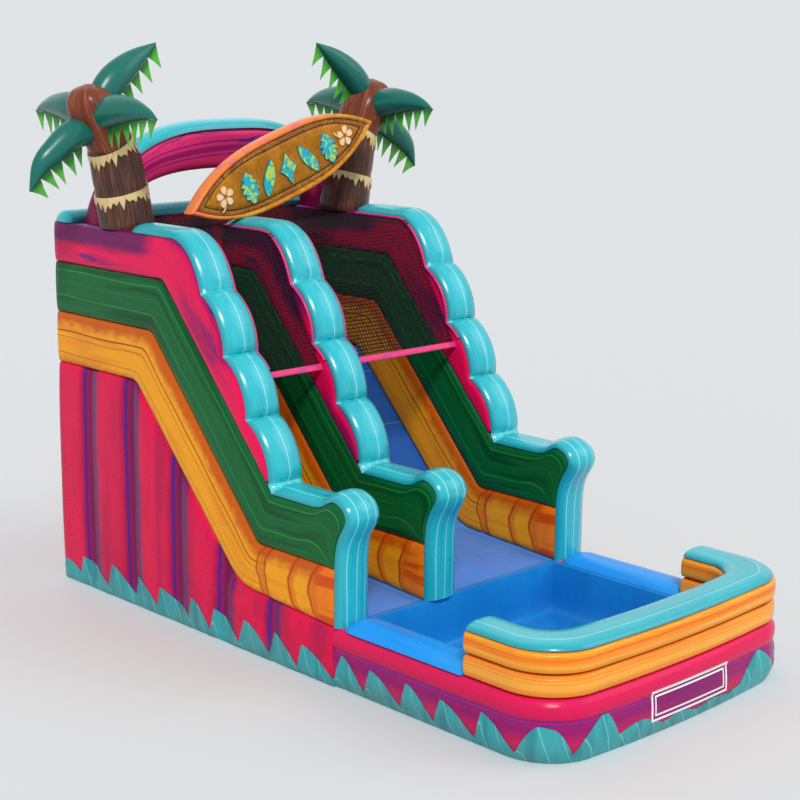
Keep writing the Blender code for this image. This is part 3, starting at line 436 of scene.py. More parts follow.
class Print:
    # a material in the making: its tree, where a point lies on it, and its colour so far
    def __init__(self, name, streaks=None, turned=False):
        self.material = bpy.data.materials.new(name)
        self.material.use_nodes = True
        self.tree = self.material.node_tree
        self.inputs = self.tree.nodes["Principled BSDF"].inputs
        self.set("Specular IOR Level", 0.15)
        places = self.tree.nodes.new("ShaderNodeTexCoord").outputs
        self.where, self.vector = places["Object"], places["UV"]
        self.across, self.along = parted(self.vector)[:2]
        if turned:
            self.vector = joined(self.along, self.across)
        if streaks:
            across, along, waver, seed = streaks
            self.streaks = placed(marble, Vector=self.vector, Across=across, Along=along, Waver=waver, Seed=seed)

    def set(self, label, value):
        feed(self.inputs[label], value)

    def mark(self, name):
        # a value that the mesh carries at its points
        node = self.tree.nodes.new("ShaderNodeAttribute")
        node.attribute_name = name
        return node.outputs["Fac"]

    def between(self, share, first, second):
        self.paint = mixed(share, colour(first), colour(second))

    def ground(self, first, second, third=None, share=None):
        # two tones in fine strokes, with patches of a third
        self.between(self.streaks["Strokes"], first, second)
        if third:
            self.over(self.streaks["Patches"], third, share)

    def over(self, mask, code, share=None):
        self.paint = mixed(mask if share is None else times(mask, share), self.paint, colour(code))

    def draw(self, value, table, within=None):
        # lines from a table of centres, width, colour and share
        for centres, width, code, share in table:
            mask = lines(value, centres, width)
            self.over(mask if within is None else times(mask, within), code, share)

    def wander(self, value, scale, amount):
        # drifts with slow noise, for hand-drawn lines
        return drift(noiseOf(self.vector, scale, 1.0), amount, value)

    def relief(self, height, strength, distance):
        self.set("Normal", fedNode("Bump", {"Strength": strength, "Distance": distance, "Height": height})[0])

    def dress(self, tone=0.12, dust=0.25, wrinkles=1.0, bump=0.25):
        # finishes the printed colour as coated cloth
        cloth = placed(tarpaulin, Colour=self.paint, Tone=tone, Dust=dust, Wrinkles=wrinkles, Edge=self.across)
        self.set("Base Color", cloth["Colour"])
        self.set("Roughness", cloth["Roughness"])
        self.set("Coat Weight", 0.05)
        self.set("Coat Roughness", 0.12)
        self.relief(cloth["Height"], bump, 0.01)
        return self.material


print("materials")
pink = dict(
    # upper and foot are painted shade: the panels' upper edge and the arch's lower ends
    base="E61052", bright="FA0E5C", deep="96105C", purple="40208A", upper="64145E", foot="6E0E44",
    lines=[((0.24, 0.74), 0.05, "8A1670", 0.75), ((0.29, 0.18, 0.79, 0.68), 0.016, "5A2488", 0.65)],
)


def pinkBand(name, across=3.4, along=0.9, topShade=0.0, patches=0.7, shades=(pink["bright"], pink["base"])):
    # pink wall panels and the arch, with purple drawn along them; painted shade along the panels' upper edge and at the
    # arch's feet
    p = Print(name, (across, along, 0.2, 3.0))
    p.ground(*shades, pink["deep"], patches)
    p.over(times(times(p.streaks["Veins"], 0.9), p.streaks["Patches"]), pink["purple"])
    if topShade:
        # painted shade: dark purple along the upper edge of the level part
        level = stepped(p.along, 1.72, 1.42)
        edge = stepped(p.wander(p.across, 3.0, 0.22), 0.38, 0.66)
        p.over(times(edge, level), pink["upper"], topShade)
    else:
        p.draw(p.wander(p.across, 0.7, 0.1), pink["lines"])
        # painted shade on the arch's feet, carried in the crease mark
        p.over(p.mark("crease"), pink["foot"], 0.8)
    return p.dress()


tube = dict(
    # shadow and crease are painted shade in the tubes' creases
    bright="F20E50", base="DC0A48", patch="9E0E4C", shadow="7C0A54", crease="56064C",
    strands=[((0.5,), 0.24, "3A1C90", 0.85)],
)


def pinkTube(name):
    # upright tubes: a wide violet shadow at each crease with two dark strands in it
    p = Print(name, (3.0, 0.4, 0.1, 7.0), turned=True)
    crease = p.wander(p.mark("crease"), 2.0, 0.22)
    p.ground(tube["bright"], tube["base"], tube["patch"], 0.5)
    p.over(stepped(p.wander(crease, 5.0, 0.24), -0.06, 0.36), tube["shadow"], 0.8)
    p.draw(crease, tube["strands"])
    # painted shade, deepest in the crease itself
    p.over(stepped(crease, 0.78, 1.0), tube["crease"], 0.65)
    return p.dress()


orange = dict(
    # dark is painted shade along the band's edges
    base="F79A0A", light="FFB420", patch="E8841C", dark="C2480A", red=("F47C18", "DC4A08"),
    lines=[((0.64,), 0.03, "8E2C04", 0.85), ((0.52, 0.2), 0.018, "8E2C04", 0.6)],
    rings=[((0.12, 0.48, 0.74), 0.085, "D24E0C", 0.5), ((0.06, 0.15, 0.46, 0.71), 0.026, "B0380A", 0.75)],
)


def orangeBand(name):
    # painted shade along its two edges, with drawn lines, rings at the foot and a red front end
    p = Print(name, (4.0, 0.7, 0.2, 11.0))
    p.ground(orange["light"], orange["base"], orange["patch"], 0.55)
    drawn = p.wander(p.across, 1.1, 0.16)
    rough = p.wander(drawn, 9.0, 0.22)
    # painted shade along the upper and the lower edge
    p.over(stepped(rough, 0.66, 0.9), orange["dark"], 0.85)
    p.over(stepped(rough, 0.16, -0.02), orange["dark"], 0.6)
    bow = maths("POWER", away(p.across, 0.5), 2.0)
    foot = p.wander(maths("MULTIPLY_ADD", bow, -0.42, p.mark("front")), 2.2, 0.12)
    p.draw(drawn, orange["lines"], stepped(foot, 0.16, 0.02))
    red = mixed(stepped(p.streaks["Patches"], 0.1, 0.8), *map(colour, orange["red"]))
    p.paint = mixed(times(stepped(foot, 0.7, 0.8), 0.9), p.paint, red)
    p.draw(foot, orange["rings"])
    return p.dress()


green = dict(base="055A2A", light="0A7038", shade="033C1C", line="2CA844")


def greenBand(name):
    p = Print(name, (4.5, 0.45, 0.15, 19.0))
    p.ground(green["base"], green["light"], green["shade"], 0.65)
    drawn = p.wander(p.across, 0.8, 0.22)
    bright = times(lines(drawn, (0.84, 0.33), 0.02), 0.62)
    faint = times(lines(drawn, (0.6, 0.14), 0.012), 0.3)
    p.over(maths("MAXIMUM", bright, faint), green["line"])
    return p.dress()


teal = dict(
    # shade is painted shade on the cap's sides; light is a painted highlight at its creases
    base="1CB8C8", bright="33C6D3", patch="16A4B6", light="6FDDE5", shade="0C8C9C", line="A4ECEF",
    strands=[((0.15, 0.36, 0.66, 0.86), 0.02, "0E93A6", 0.35)],
)


def tealCap(name, lineAt, lineWidth=0.02, armLines=()):
    # pale welded line down the middle and deeper strands; painted highlight at the creases and painted shade on the two
    # sides
    p = Print(name, (3.0, 1.4, 0.3, 23.0))
    p.ground(teal["base"], teal["bright"], teal["patch"], 0.35)
    # painted shade on the two sides of the crowned cap
    p.over(stepped(away(p.across, 0.5), 0.34, 0.5), teal["shade"], 0.6)
    drawn = p.wander(p.across, 1.6, 0.07)
    p.draw(drawn, teal["strands"])
    # painted highlight where the scallops meet at the creases
    p.over(stepped(p.mark("crease"), 0.72, 0.97), teal["light"], 0.6)
    mask = lines(drawn, lineAt, lineWidth)
    if armLines:
        mask = maths("MAXIMUM", mask, times(lines(drawn, armLines, lineWidth), p.mark("arm")))
    p.over(mask, teal["line"], 0.85)
    p.dress(wrinkles=0.8)
    p.set("Specular IOR Level", 0.45)
    p.set("Coat Weight", 0.25)
    return p.material


def plainVinyl(name, base, light, dark, across=2.0, along=0.5):
    p = Print(name, (across, along, 0.3, 31.0))
    p.ground(base, light, dark, 0.45)
    return p.dress(tone=0.16, dust=0.1)


def skirtPrint(name):
    p = Print(name, (1.2, 7.0, 0.5, 41.0))
    p.ground("2F9FA8", "46B0B4", "237F8E", 0.6)
    ribs = maths("FRACT", times(maths("MULTIPLY_ADD", p.across, 0.35, p.along), 5.4))
    p.draw(ribs, [((0.5,), 0.06, "8CE0DC", 0.55)])
    return p.dress(dust=0.35)


def barkPrint(name, base, dark, streak):
    p = Print(name, (17.0, 0.7, 0.03, 5.0))
    p.between(stepped(p.streaks["Strokes"], 0.3, 0.7), base, dark)
    p.over(p.streaks["Patches"], dark, 0.55)
    p.over(p.streaks["Veins"], streak, 0.55)
    return p.dress(tone=0.2, wrinkles=0.3, bump=0.2)


def leafPrint(name, base, light, dark):
    p = Print(name, (6.0, 1.2, 0.1, 9.0))
    p.between(times(p.streaks["Strokes"], 0.6), base, light)
    # painted shade where the crease mark is high: the leaf's underside and root, the tops of the fringe's tongues
    p.over(stepped(p.mark("crease"), 0.35, 1.0), dark, 0.75)
    p.dress(wrinkles=0.2, bump=0.12)
    p.set("Specular IOR Level", 0.3)
    return p.material


def woodPrint(name, base, light, dark, speckle=0.0):
    p = Print(name)
    cloud, grain = noiseOf(p.where, 4.5, 5.0, 0.6), noiseOf(p.where, 26.0, 6.0, 0.3)
    p.between(stepped(cloud, 0.35, 0.7), base, light)
    p.over(stepped(grain, 0.5, 0.68), dark, 0.5 + speckle / 2)
    if speckle:
        p.over(stepped(noiseOf(p.where, 70.0, 4.0), 0.5, 0.6), "5E3A1C", speckle)
    return p.dress(tone=0.2, wrinkles=0.2)


def clothMaterial(name, base, light, roughness=0.75, scale=420.0, sheen=0.25):
    p = Print(name)
    p.set("Sheen Weight", sheen)
    p.set("Base Color", mixed(noiseOf(p.where, 14.0, 4.0), colour(base), colour(light)))
    p.set("Roughness", maths("MULTIPLY_ADD", noiseOf(p.where, 30.0), 0.15, roughness - 0.07))
    p.relief(cellsOf(p.where, scale), 0.3, 0.001)
    return p.material


def steelMaterial(name):
    p = Print(name)
    wear = noiseOf(p.where, 60.0, 4.0)
    p.set("Metallic", 1.0)
    p.set("Base Color", mixed(wear, (0.62, 0.62, 0.64, 1.0), (0.48, 0.47, 0.46, 1.0)))
    p.set("Roughness", maths("MULTIPLY_ADD", wear, 0.25, 0.12))
    return p.material


def rimPrint(name):
    # orange along the upper left, with painted highlights of lighter orange and pink streaks there; mottled gold
    # elsewhere
    p = Print(name)
    cloud = noiseOf(p.where, 5.0, 4.0, 0.5)
    # painted highlights on the upper left: lighter orange in clouds, pink streaks
    p.between(cloud, "F07A28", "FA9250")
    p.over(stepped(away(noiseOf(p.where, 3.0, 2.0), 0.5), 0.03, 0.0), "E0508A", 0.5)
    highlitOrange = p.paint
    p.between(stepped(cloud, 0.35, 0.65), "C8821E", "E09A30")
    p.over(stepped(noiseOf(p.where, 24.0, 4.0), 0.5, 0.66), "9A5A14", 0.6)
    p.paint = mixed(p.mark("crease"), p.paint, highlitOrange)
    return p.dress(wrinkles=0.2)


bumper = dict(
    patch="FFCF5A", lines=[((0.22, 0.8), 0.05, "DC5A0C", 0.35), ((0.3, 0.66), 0.018, "B04A10", 0.6)],
    high=((0.0, "E2681A"), (0.16, "F59A2E"), (0.32, "FFB846"), (0.5, "FA8420"), (0.72, "F57C1C"), (0.84, "FFB838"),
        (0.92, "F58C20"), (1.0, "E0641A")),
    low=((0.0, "DE681C"), (0.16, "F89A32"), (0.45, "FCAC44"), (0.78, "F9A23C"), (0.92, "EE8828"), (1.0, "DC6A1C")),
)


def bumperBand(name, stops):
    # layered yellow and orange, drawn out lengthwise
    p = Print(name, (7.0, 0.5, 0.12, 51.0))
    p.paint = ramp(drift(p.streaks["Strokes"], 0.34, p.across), stops)
    p.over(p.streaks["Patches"], bumper["patch"], 0.25)
    p.draw(p.wander(p.across, 1.0, 0.2), bumper["lines"])
    return p.dress()


poolPrint = dict(
    stops=((0.0, "A0105A"), (0.3, "CE1454"), (0.5, "90146A"), (0.64, "B01460"), (0.74, "DE1454"), (0.95, "E41C5A")),
    patch="B01C64", lines=[((0.66, 0.6), 0.024, "4A2C9A", 0.8), ((0.4, 0.22), 0.016, "6A2490", 0.4)],
)


def pinkPool(name):
    # bright pink above the seam, violet strands at it, deeper pink below
    p = Print(name, (5.0, 0.6, 0.15, 61.0))
    p.paint = ramp(drift(p.streaks["Strokes"], 0.22, p.across), poolPrint["stops"])
    p.over(p.streaks["Patches"], poolPrint["patch"], 0.25)
    p.draw(p.wander(p.across, 0.8, 0.12), poolPrint["lines"])
    return p.dress()


def lanePrint(name):
    # light periwinkle on the level parts; deeper blue on the slope, a painted shadow of the net above it
    p = Print(name, (2.0, 0.5, 0.3, 31.0))
    p.ground("4E8AE4", "5C96EC")
    # painted shadow of the net over the slope
    p.over(p.mark("slope"), "1C5AB4", 0.85)
    p.draw(maths("FRACT", times(p.along, 1.55)), [((0.5,), 0.02, "96BAF4", 0.3)])
    return p.dress(dust=0.1)


def motifPrint(name):
    # teal ground with yellow-green cells
    p = Print(name)
    p.between(stepped(noiseOf(p.where, 13.0, 2.0, 0.8), 0.46, 0.56), "22B6C8", "B6DE58")
    p.over(stepped(noiseOf(p.where, 22.0, 2.0), 0.58, 0.66), "1590B0")
    return p.dress(wrinkles=0.1)


finish = {
    "tube": pinkTube("pinkTubes"),
    "poolWall": pinkPool("pinkPool"),
    "pink": pinkBand("pinkPanel", topShade=0.9),
    "arch": pinkBand("pinkArch", 5.0, 0.3, patches=0.35, shades=("FF4A8E", "FA2C74")),
    "orange": orangeBand("orangePanel"),
    "green": greenBand("greenPanel"),
    "cap": tealCap("tealCap", (0.5,), 0.022, (0.24, 0.76)),
    "bumperCap": tealCap("tealBumper", (0.3,), 0.022),
    "archCap": tealCap("tealArch", (0.2, 0.42), 0.03),
    "rearTube": tealCap("tealTube", (0.35,), 0.025),
    "bed": lanePrint("laneBlue"),
    "deck": plainVinyl("deckBlue", "3F79CE", "4A86D8", "2F66BC"),
    "step": plainVinyl("stepBlue", "1F58B0", "2C66C0", "184A9C"),
    "pool": plainVinyl("poolBlue", "1784D2", "1F90DC", "1276C4"),
    "coping": plainVinyl("copingBlue", "1E9CFA", "30A8FF", "188AEA"),
    "bumperHigh": bumperBand("bumperUpper", bumper["high"]),
    "bumperLow": bumperBand("bumperLower", bumper["low"]),
    "skirt": skirtPrint("tealSkirt"),
    "trunk": barkPrint("barkPrint", "5E4238", "44302E", "94562E"),
    "crown": barkPrint("crownPrint", "87442E", "6A3428", "B0683A"),
    "collar": woodPrint("creamCollar", "DCBF86", "E8D09A", "C09C62"),
    # the third colour of leaf and fringe is their painted shade
    "leaf": leafPrint("leafTeal", "14675E", "1C7A6C", "0A423E"),
    "fringe": leafPrint("fringeGreen", "4DB53C", "66C44C", "175A26"),
    "board": woodPrint("boardGold", "A8690E", "C2801C", "744608"),
    "border": woodPrint("boardBorder", "A5652A", "BC8034", "6A4020", 0.7),
    "rim": rimPrint("rimOrange"),
    "groove": woodPrint("boardGroove", "3A200C", "4A2A12", "2A180A"),
    "cream": woodPrint("petalCream", "F4D8A6", "FAE4BC", "E2B276"),
    "motif": motifPrint("motifPrint"),
    "motifEdge": woodPrint("motifEdge", "0C7C98", "128CA6", "0A6480"),
    "petalEdge": woodPrint("petalEdge", "DE9448", "E8A45C", "C47E3A"),
    "thread": clothMaterial("thread", "D8D8DC", "E8E8EA", 0.7, 900.0),
    "flap": plainVinyl("flapPink", "C41A58", "D42464", "A01650"),
    "panel": plainVinyl("panelField", "8C1A62", "A0206C", "701A6E"),
    "white": plainVinyl("panelWhite", "F2F2F4", "FCFCFC", "E4E4EA"),
    "net": clothMaterial("netBlack", "0E0E12", "17171C", 0.85, sheen=0.0),
    "trim": plainVinyl("trimPink", "E42C6C", "F04C86", "8A3A9C", 3.0, 4.0),
    "sleeve": clothMaterial("sleeveCloth", "343A42", "454D57"),
    "tape": clothMaterial("tapeBlack", "101012", "1C1C20"),
    "webbing": clothMaterial("webbingBlack", "121214", "202024", scale=260.0),
    "steel": steelMaterial("platedSteel"),
    "web": plainVinyl("webBlue", "4870B4", "547CC0", "3C62A0"),
}


# Meshes

def intoScene(name, data):
    thing = bpy.data.objects.new(name, data)
    bpy.context.scene.collection.objects.link(thing)
    return thing


def weld(body, gap=1e-5):
    bmesh.ops.remove_doubles(body, verts=body.verts, dist=gap)


def finishMesh(name, body, looks, sharp=50.0):
    # the looks are names of finishes, parted by spaces
    mesh = bpy.data.meshes.new(name)
    bmesh.ops.recalc_face_normals(body, faces=body.faces)
    body.to_mesh(mesh)
    body.free()
    mesh.set_sharp_from_angle(angle=radians(sharp))
    piece = intoScene(name, mesh)
    for look in looks.split():
        mesh.materials.append(finish[look])
    return piece


def addSkin(body, rings, across, along, marks=None, caps=True, index=0):
    # a surface through closed rings: across has a value per point, along one per ring, marks either of these
    uvLayer = body.loops.layers.uv.verify()
    floats = body.verts.layers.float
    layers = [(floats.get(label) or floats.new(label), values) for label, values in (marks or {}).items()]
    rows = [[body.verts.new(point) for point in ring] for ring in rings]
    for layer, values in layers:
        for row, value in zip(rows, values):
            for j, vert in enumerate(row):
                vert[layer] = value[j] if isinstance(value, list) else value
    count = len(rings[0])
    if len(across) == count:
        across = across + across[:1]
    for i in range(len(rows) - 1):
        for j in range(count):
            k = (j + 1) % count
            face = body.faces.new((rows[i][j], rows[i][k], rows[i + 1][k], rows[i + 1][j]))
            face.smooth = True
            face.material_index = index
            for loop, (a, b) in zip(face.loops, ((i, j), (i, j + 1), (i + 1, j + 1), (i + 1, j))):
                loop[uvLayer].uv = (across[b], along[a])
    if caps:
        for row, value in ((rows[0], along[0]), (rows[-1], along[-1])):
            face = body.faces.new(row)
            face.material_index = index
            for loop, share in zip(face.loops, across):
                loop[uvLayer].uv = (share if caps == "drawn" else 0.5, value)


def skin(name, rings, across, along, material, marks=None, caps=True, sharp=50.0):
    body = bmesh.new()
    addSkin(body, rings, across, along, marks, caps)
    return finishMesh(name, body, material, sharp)


def keep(piece, node=None, body="slide"):
    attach(piece, body)
    if node:
        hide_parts(node)
    return piece


pressure = dict(roll=0.055, tuck=0.026, crown=0.012, columns=14, fold=1.3, rearFold=1.2)


def drawnIn(edge):
    # how far a chamber's face sinks towards a seam
    return pressure["tuck"] * (1 - swell(edge / pressure["roll"]))


def crowned(share):
    # full in the middle of a chamber, nothing at its seams
    return 1 - (2 * share - 1) ** 4


def seamShares(count):
    # from 0 to 1, closer together near the seams
    return [0.5 - 0.5 * cos(pi * share) for share in steps(count)]


def pillow(name, rows, span, material, crease=None, crown=None, dent=None, painted=None):
    # an air chamber between two lines: full on its two sides, drawn in along its seams
    crown = pressure["crown"] if crown is None else crown
    painted = painted or {}
    margin = pressure["roll"] * 0.2
    shares = seamShares(pressure["columns"])
    rings = []
    marks = {label: [] for label in ("crease", *painted)}
    last = rows[-1][2]
    for low, high, distance in rows:
        tall = (high - low).length
        spots = [low.lerp(high, share) for share in shares]
        folds = [crease(spot) if crease else 0.0 for spot in spots]
        pushes = []
        for share, spot, fold in zip(shares, spots, folds):
            edge = min(share * tall, (1 - share) * tall, distance + margin, last - distance + margin)
            push = crown * crowned(share) - drawnIn(edge) - fold * pressure["tuck"] * pressure["fold"]
            pushes.append(push - (dent(spot) if dent else 0.0))
        left = [at(span[0] - push, *spot) for push, spot in zip(pushes, spots)]
        right = [at(span[1] + push, *spot) for push, spot in zip(pushes, spots)]
        rings.append(left + right[::-1])
        marks["crease"].append(andBack(folds))
        for label, rule in painted.items():
            marks[label].append(andBack([rule(spot) for spot in spots]))
    return skin(name, rings, andBack(shares), [row[2] for row in rows], material, marks, caps="drawn")


# Walls of the tower

tubes = dict(creases=(0.52, 1.21, 1.93, 2.6, 3.3), width=0.1, ringPlaces=(3.14, 3.6), ringStart=3.0, crown=0.022)


def ringFold(spot):
    first, second = tubes["ringPlaces"]
    return max(0.5 * foldNear(spot.x, (first,), 0.022), 0.15 * foldNear(spot.x, (second,), 0.02)) * (
        spot.x > tubes["ringStart"])


def ringShare(spot):
    return min(1.0, max(0.0, (spot.x - tubes["ringStart"]) / (wallEnd - tubes["ringStart"])))


def wallPanels(side, span, backDepth):
    orangeTop, greenTop = orangeLine(backDepth), greenLine(backDepth)
    path, creases, foot = edgePath(backDepth)
    greenKnee, greenFoot = (tower["greenKnee"], tower["greenTop"]), (capEdge["slopeFoot"], armTop)
    pinkKnee = (capEdge["slopeTop"] - capEdge["shoulder"], wallTop)
    scroll = path[foot:]
    last = max(i for i, p in enumerate(scroll) if p.y > tower["orangeFront"] + 0.02)
    orangeTies = [(deckEdge, orangeKnee), (tower["bedFoot"], orangeFoot)]
    if backDepth > deckDepth:
        orangeTies = orangeTies[1:]
    bands = (
        ("Orange", bedLine(backDepth), orangeTop, orangeTies, dict(crease=ringFold, painted={"front": ringShare})),
        ("Green", orangeTop, greenTop[:-1] + scroll[:last + 1], [(orangeKnee, greenKnee), (orangeFoot, greenFoot)], {}),
        ("Pink", greenTop, path[:foot + 1], [(greenKnee, pinkKnee)], {}),
    )
    for label, lower, upper, ties, looks in bands:
        rows = rungs(lower, upper, ties)
        if label == "Pink":
            rows = [row for row in rows if (row[1] - row[0]).length > 0.03]
        tint = label.lower()
        piece = pillow(side + "Wall" + label, rows, span, tint, **looks)
        keep(piece, side + "_wall_" + tint)


def wallCap(side, span, startDepth, blunt):
    # crowned band with a pinched valley between scallops and a rounded tongue at its start
    c = capEdge
    path, creases, foot = edgePath(0.0)
    path = path[1:]
    first = Vector((startDepth, wallTop))
    count = max(4, round((path[0].x - startDepth) / 0.04))
    line = [first.lerp(path[0], share ** 1.4) for share in steps(count)[:-1]] + path
    marks = [i - 1 + count for i in creases]
    # long straight runs get more points
    full, isFold, arm = [], [], []
    for i, point in enumerate(line):
        run = (line[i + 1] - point).length if i + 1 < len(line) else 0.0
        extra = round(run / 0.05) if run > 0.09 else 1
        full += [point] + [point.lerp(line[i + 1], j / extra) for j in range(1, extra)]
        isFold += [i in marks] + [False] * (extra - 1)
        arm += [float(i >= foot - 1 + count)] * extra
    lengths = lengthsOf(full)
    valleys = [length for length, fold in zip(lengths, isFold) if fold]
    besideValleys = [valley + shift for valley in valleys for shift in (0.05, -0.05)]
    footLength = lengths[arm.index(1.0)]
    middle, half = (span[0] + span[1]) / 2, (span[1] - span[0]) / 2
    rings = []
    for low, high, distance in zip(offsetLine(full, hair), offsetLine(full, hair + c["crown"]), lengths):
        start = swell(distance / c["tongue"])
        share = 1 - (1 - c["valley"]) * foldNear(distance, valleys, 0.045)
        share *= (1 - 0.25 * foldNear(distance, [footLength], 0.05)) * (0.25 + 0.75 * start)
        narrow = half * (blunt + (1 - blunt) * start)
        ring = [at(middle + narrow - 0.004, *low), at(middle - narrow + 0.004, *low)]
        beside = foldNear(distance, besideValleys, 0.035)
        for u in steps(c["columns"]):
            t = 2 * u - 1
            bulge = max(0.0, 1 - abs(t) ** 2.3) ** 0.72
            groove = 0.05 * exp(-(t / 0.045) ** 2)
            pucker = 0.05 * cos(u * pi * 11) * beside
            puff = share * (0.1 + (0.9 + pucker) * bulge - groove)
            ring.append(at(middle + t * narrow, *(low + (high - low) * puff)))
        rings.append(ring)
    # the crease mark also carries the cap's painted highlight at the valleys and at the foot of the slope
    folds = [foldNear(distance, valleys + [footLength], 0.022) for distance in lengths]
    piece = skin(side + "WallCap", rings, [1.0, 0.0] + steps(c["columns"]), lengths, "cap",
            {"crease": folds, "arm": arm}, sharp=75.0)
    keep(piece, side + "_wall_cap")


def flankFold(spot):
    fade = smoothStep(0.0, 0.12, spot.y) * smoothStep(3.55, 3.15, spot.x)
    return foldNear(spot.x, tubes["creases"], tubes["width"]) * fade


def flankDent(spot):
    # the slack fold beside the foot of the slope
    a, b = Vector((2.5, 0.76)), Vector((2.84, 0.5))
    t = min(1.0, max(0.0, (spot - a).dot(b - a) / (b - a).length_squared))
    gap = (spot - a.lerp(b, t)).length
    return 0.045 * exp(-(gap / 0.035) ** 2) * sin(pi * (0.12 + 0.76 * t))


def flankPanel(side, span, backDepth, node):
    bed = bedLine(backDepth)
    run = wallEnd - backDepth
    depths = spread(backDepth, wallEnd, round(run / 0.035))
    rows = [(Vector((depth, 0.0)), Vector((depth, heightOn(bed, depth) - hair)), depth - backDepth) for depth in depths]
    piece = pillow(side + "Flank", rows, span, "tube", flankFold, tubes["crown"], flankDent)
    keep(piece, node)


print("walls")
walls = (
    ("left", leftWall, 0.0, capEdge["sideStart"], capEdge["sideBlunt"], "left_flank", "pink_vinyl"),
    ("middle", middleWall, deckDepth, capEdge["middleStart"], capEdge["middleBlunt"], "centre_web", "deck_vinyl"),
    ("right", rightWall, 0.0, capEdge["sideStart"], capEdge["sideBlunt"], "right_flank", "pink_vinyl"),
)
for side, span, backDepth, *_ in walls:
    wallPanels(side, span, backDepth)
for side, span, backDepth, start, blunt, *_ in walls:
    wallCap(side, span, start, blunt)
for side, span, backDepth, start, blunt, node, slot in walls:
    flankPanel(side, span, backDepth, node)

# Pool

pool = dict(
    startDepth=4.0553, front=6.5, bow=0.045, corner=0.5, rim=0.4, tuck=0.035, tuckHeight=0.12,
    seam=0.345, puff=0.016, linerFilm=0.04, floor=0.05,
    copingStart=4.1356, copingCrown=0.08, bumperStart=5.54, tubeHeight=0.19, capCrown=0.055, capInset=0.022,
    wallHeights=(0.0, 0.03, 0.07, 0.12, 0.17, 0.22, 0.27, 0.31, 0.335, 0.345, 0.355, 0.38, 0.41, 0.44, 0.465),
)
sideSteps = [1.0, 0.9, 0.8, 0.7, 0.6, 0.5, 0.4, 0.3, 0.22, 0.15, 0.1, 0.06, 0.035, 0.015, 0.0]


def poolRun(inward, startDepth):
    # from the left side's start, round the front, to the right side's start
    side = outerSide - inward
    front = pool["front"] - inward
    radius = pool["corner"] - inward * pool["corner"] / (pool["corner"] + pool["rim"])
    half = [Vector((u * (side - radius), front + pool["bow"] * (1 - u ** 2))) for u in steps(12)[:-1]]
    for share in steps(14):
        turn = pi / 2 * share
        half.append(Vector((side - radius + radius * sin(turn), front - radius + radius * cos(turn))))
    last = half[-1]
    half += [Vector((side, startDepth + (last.y - startDepth) * share)) for share in sideSteps[1:]]
    return [Vector((-p.x, p.y)) for p in reversed(half[1:])] + half


def poolFace(height):
    # how far the pool's outer face lies inwards at a height: two tubes with a seam between them
    low = pool["tuck"] * max(0.0, 1 - height / pool["tuckHeight"])
    share = height / pool["seam"]
    if share >= 1:
        share = min(1.0, (height - pool["seam"]) / (runout - pool["seam"] - 0.02))
    return low - pool["puff"] * sin(pi * share) ** 0.6 + 0.004


def poolBand(name, section, across, startDepth, material, ends=None, sharp=50.0):
    # section holds (inward, height) points; ends = (centre, run) rounds off the two ends
    runs = [poolRun(inward, startDepth) for inward, height in section]
    outer = lengthsOf(poolRun(0.0, startDepth))
    rings = []
    for i, distance in enumerate(outer):
        ring = [at(*run[i], height) for run, (inward, height) in zip(runs, section)]
        if ends:
            (inward, height), reach = ends
            share = 0.9 + 0.1 * swell(min(distance, outer[-1] - distance) / reach)
            centre = at(*poolRun(inward, startDepth)[i], height)
            ring = [centre + (point - centre) * share for point in ring]
        rings.append(ring)
    return skin(name, rings, across, outer, material, sharp=sharp)


def makePoolWall():
    top = runout
    section = [(poolFace(height), height) for height in pool["wallHeights"]]
    for share in steps(5)[1:]:
        turn = pi / 2 * share
        section.append((0.055 - 0.052 * cos(turn), 0.465 + 0.055 * sin(turn)))
    across = [height / top for inward, height in section] + [1.0, 1.0, 0.1]
    section += [(0.2, top), (pool["rim"], top), (pool["rim"], 0.0)]
    piece = poolBand("poolWall", section, across, pool["startDepth"], "poolWall")
    keep(piece, "pool_wall")


def makeLiner():
    # one thin tray
    top = runout
    outside = pool["rim"] + hair
    inside = outside + pool["linerFilm"]
    profile = [
        (outside, 0.0), (outside, top - 0.02), (outside - 0.03, top + 0.001), (outside + 0.006, top + 0.003),
        (inside - 0.006, top + 0.001), (inside, top - 0.02), (inside + 0.004, 0.36), (inside + 0.004, 0.2),
        (inside, 0.11), (inside + 0.012, 0.075), (inside + 0.04, pool["floor"] + 0.004),
        (inside + 0.1, pool["floor"]), (inside + 0.4, pool["floor"] - 0.004),
    ]
    start = pool["startDepth"]
    rings = [[at(*p, height) for p in poolRun(inward, start + inward - outside)] for inward, height in profile]
    across = lengthsOf(poolRun(outside, start))
    along = lengthsOf([Vector(each) for each in profile])
    piece = skin("poolLiner", rings, across + [across[-1] + 2.4], along, "pool")
    keep(piece, "pool_liner")


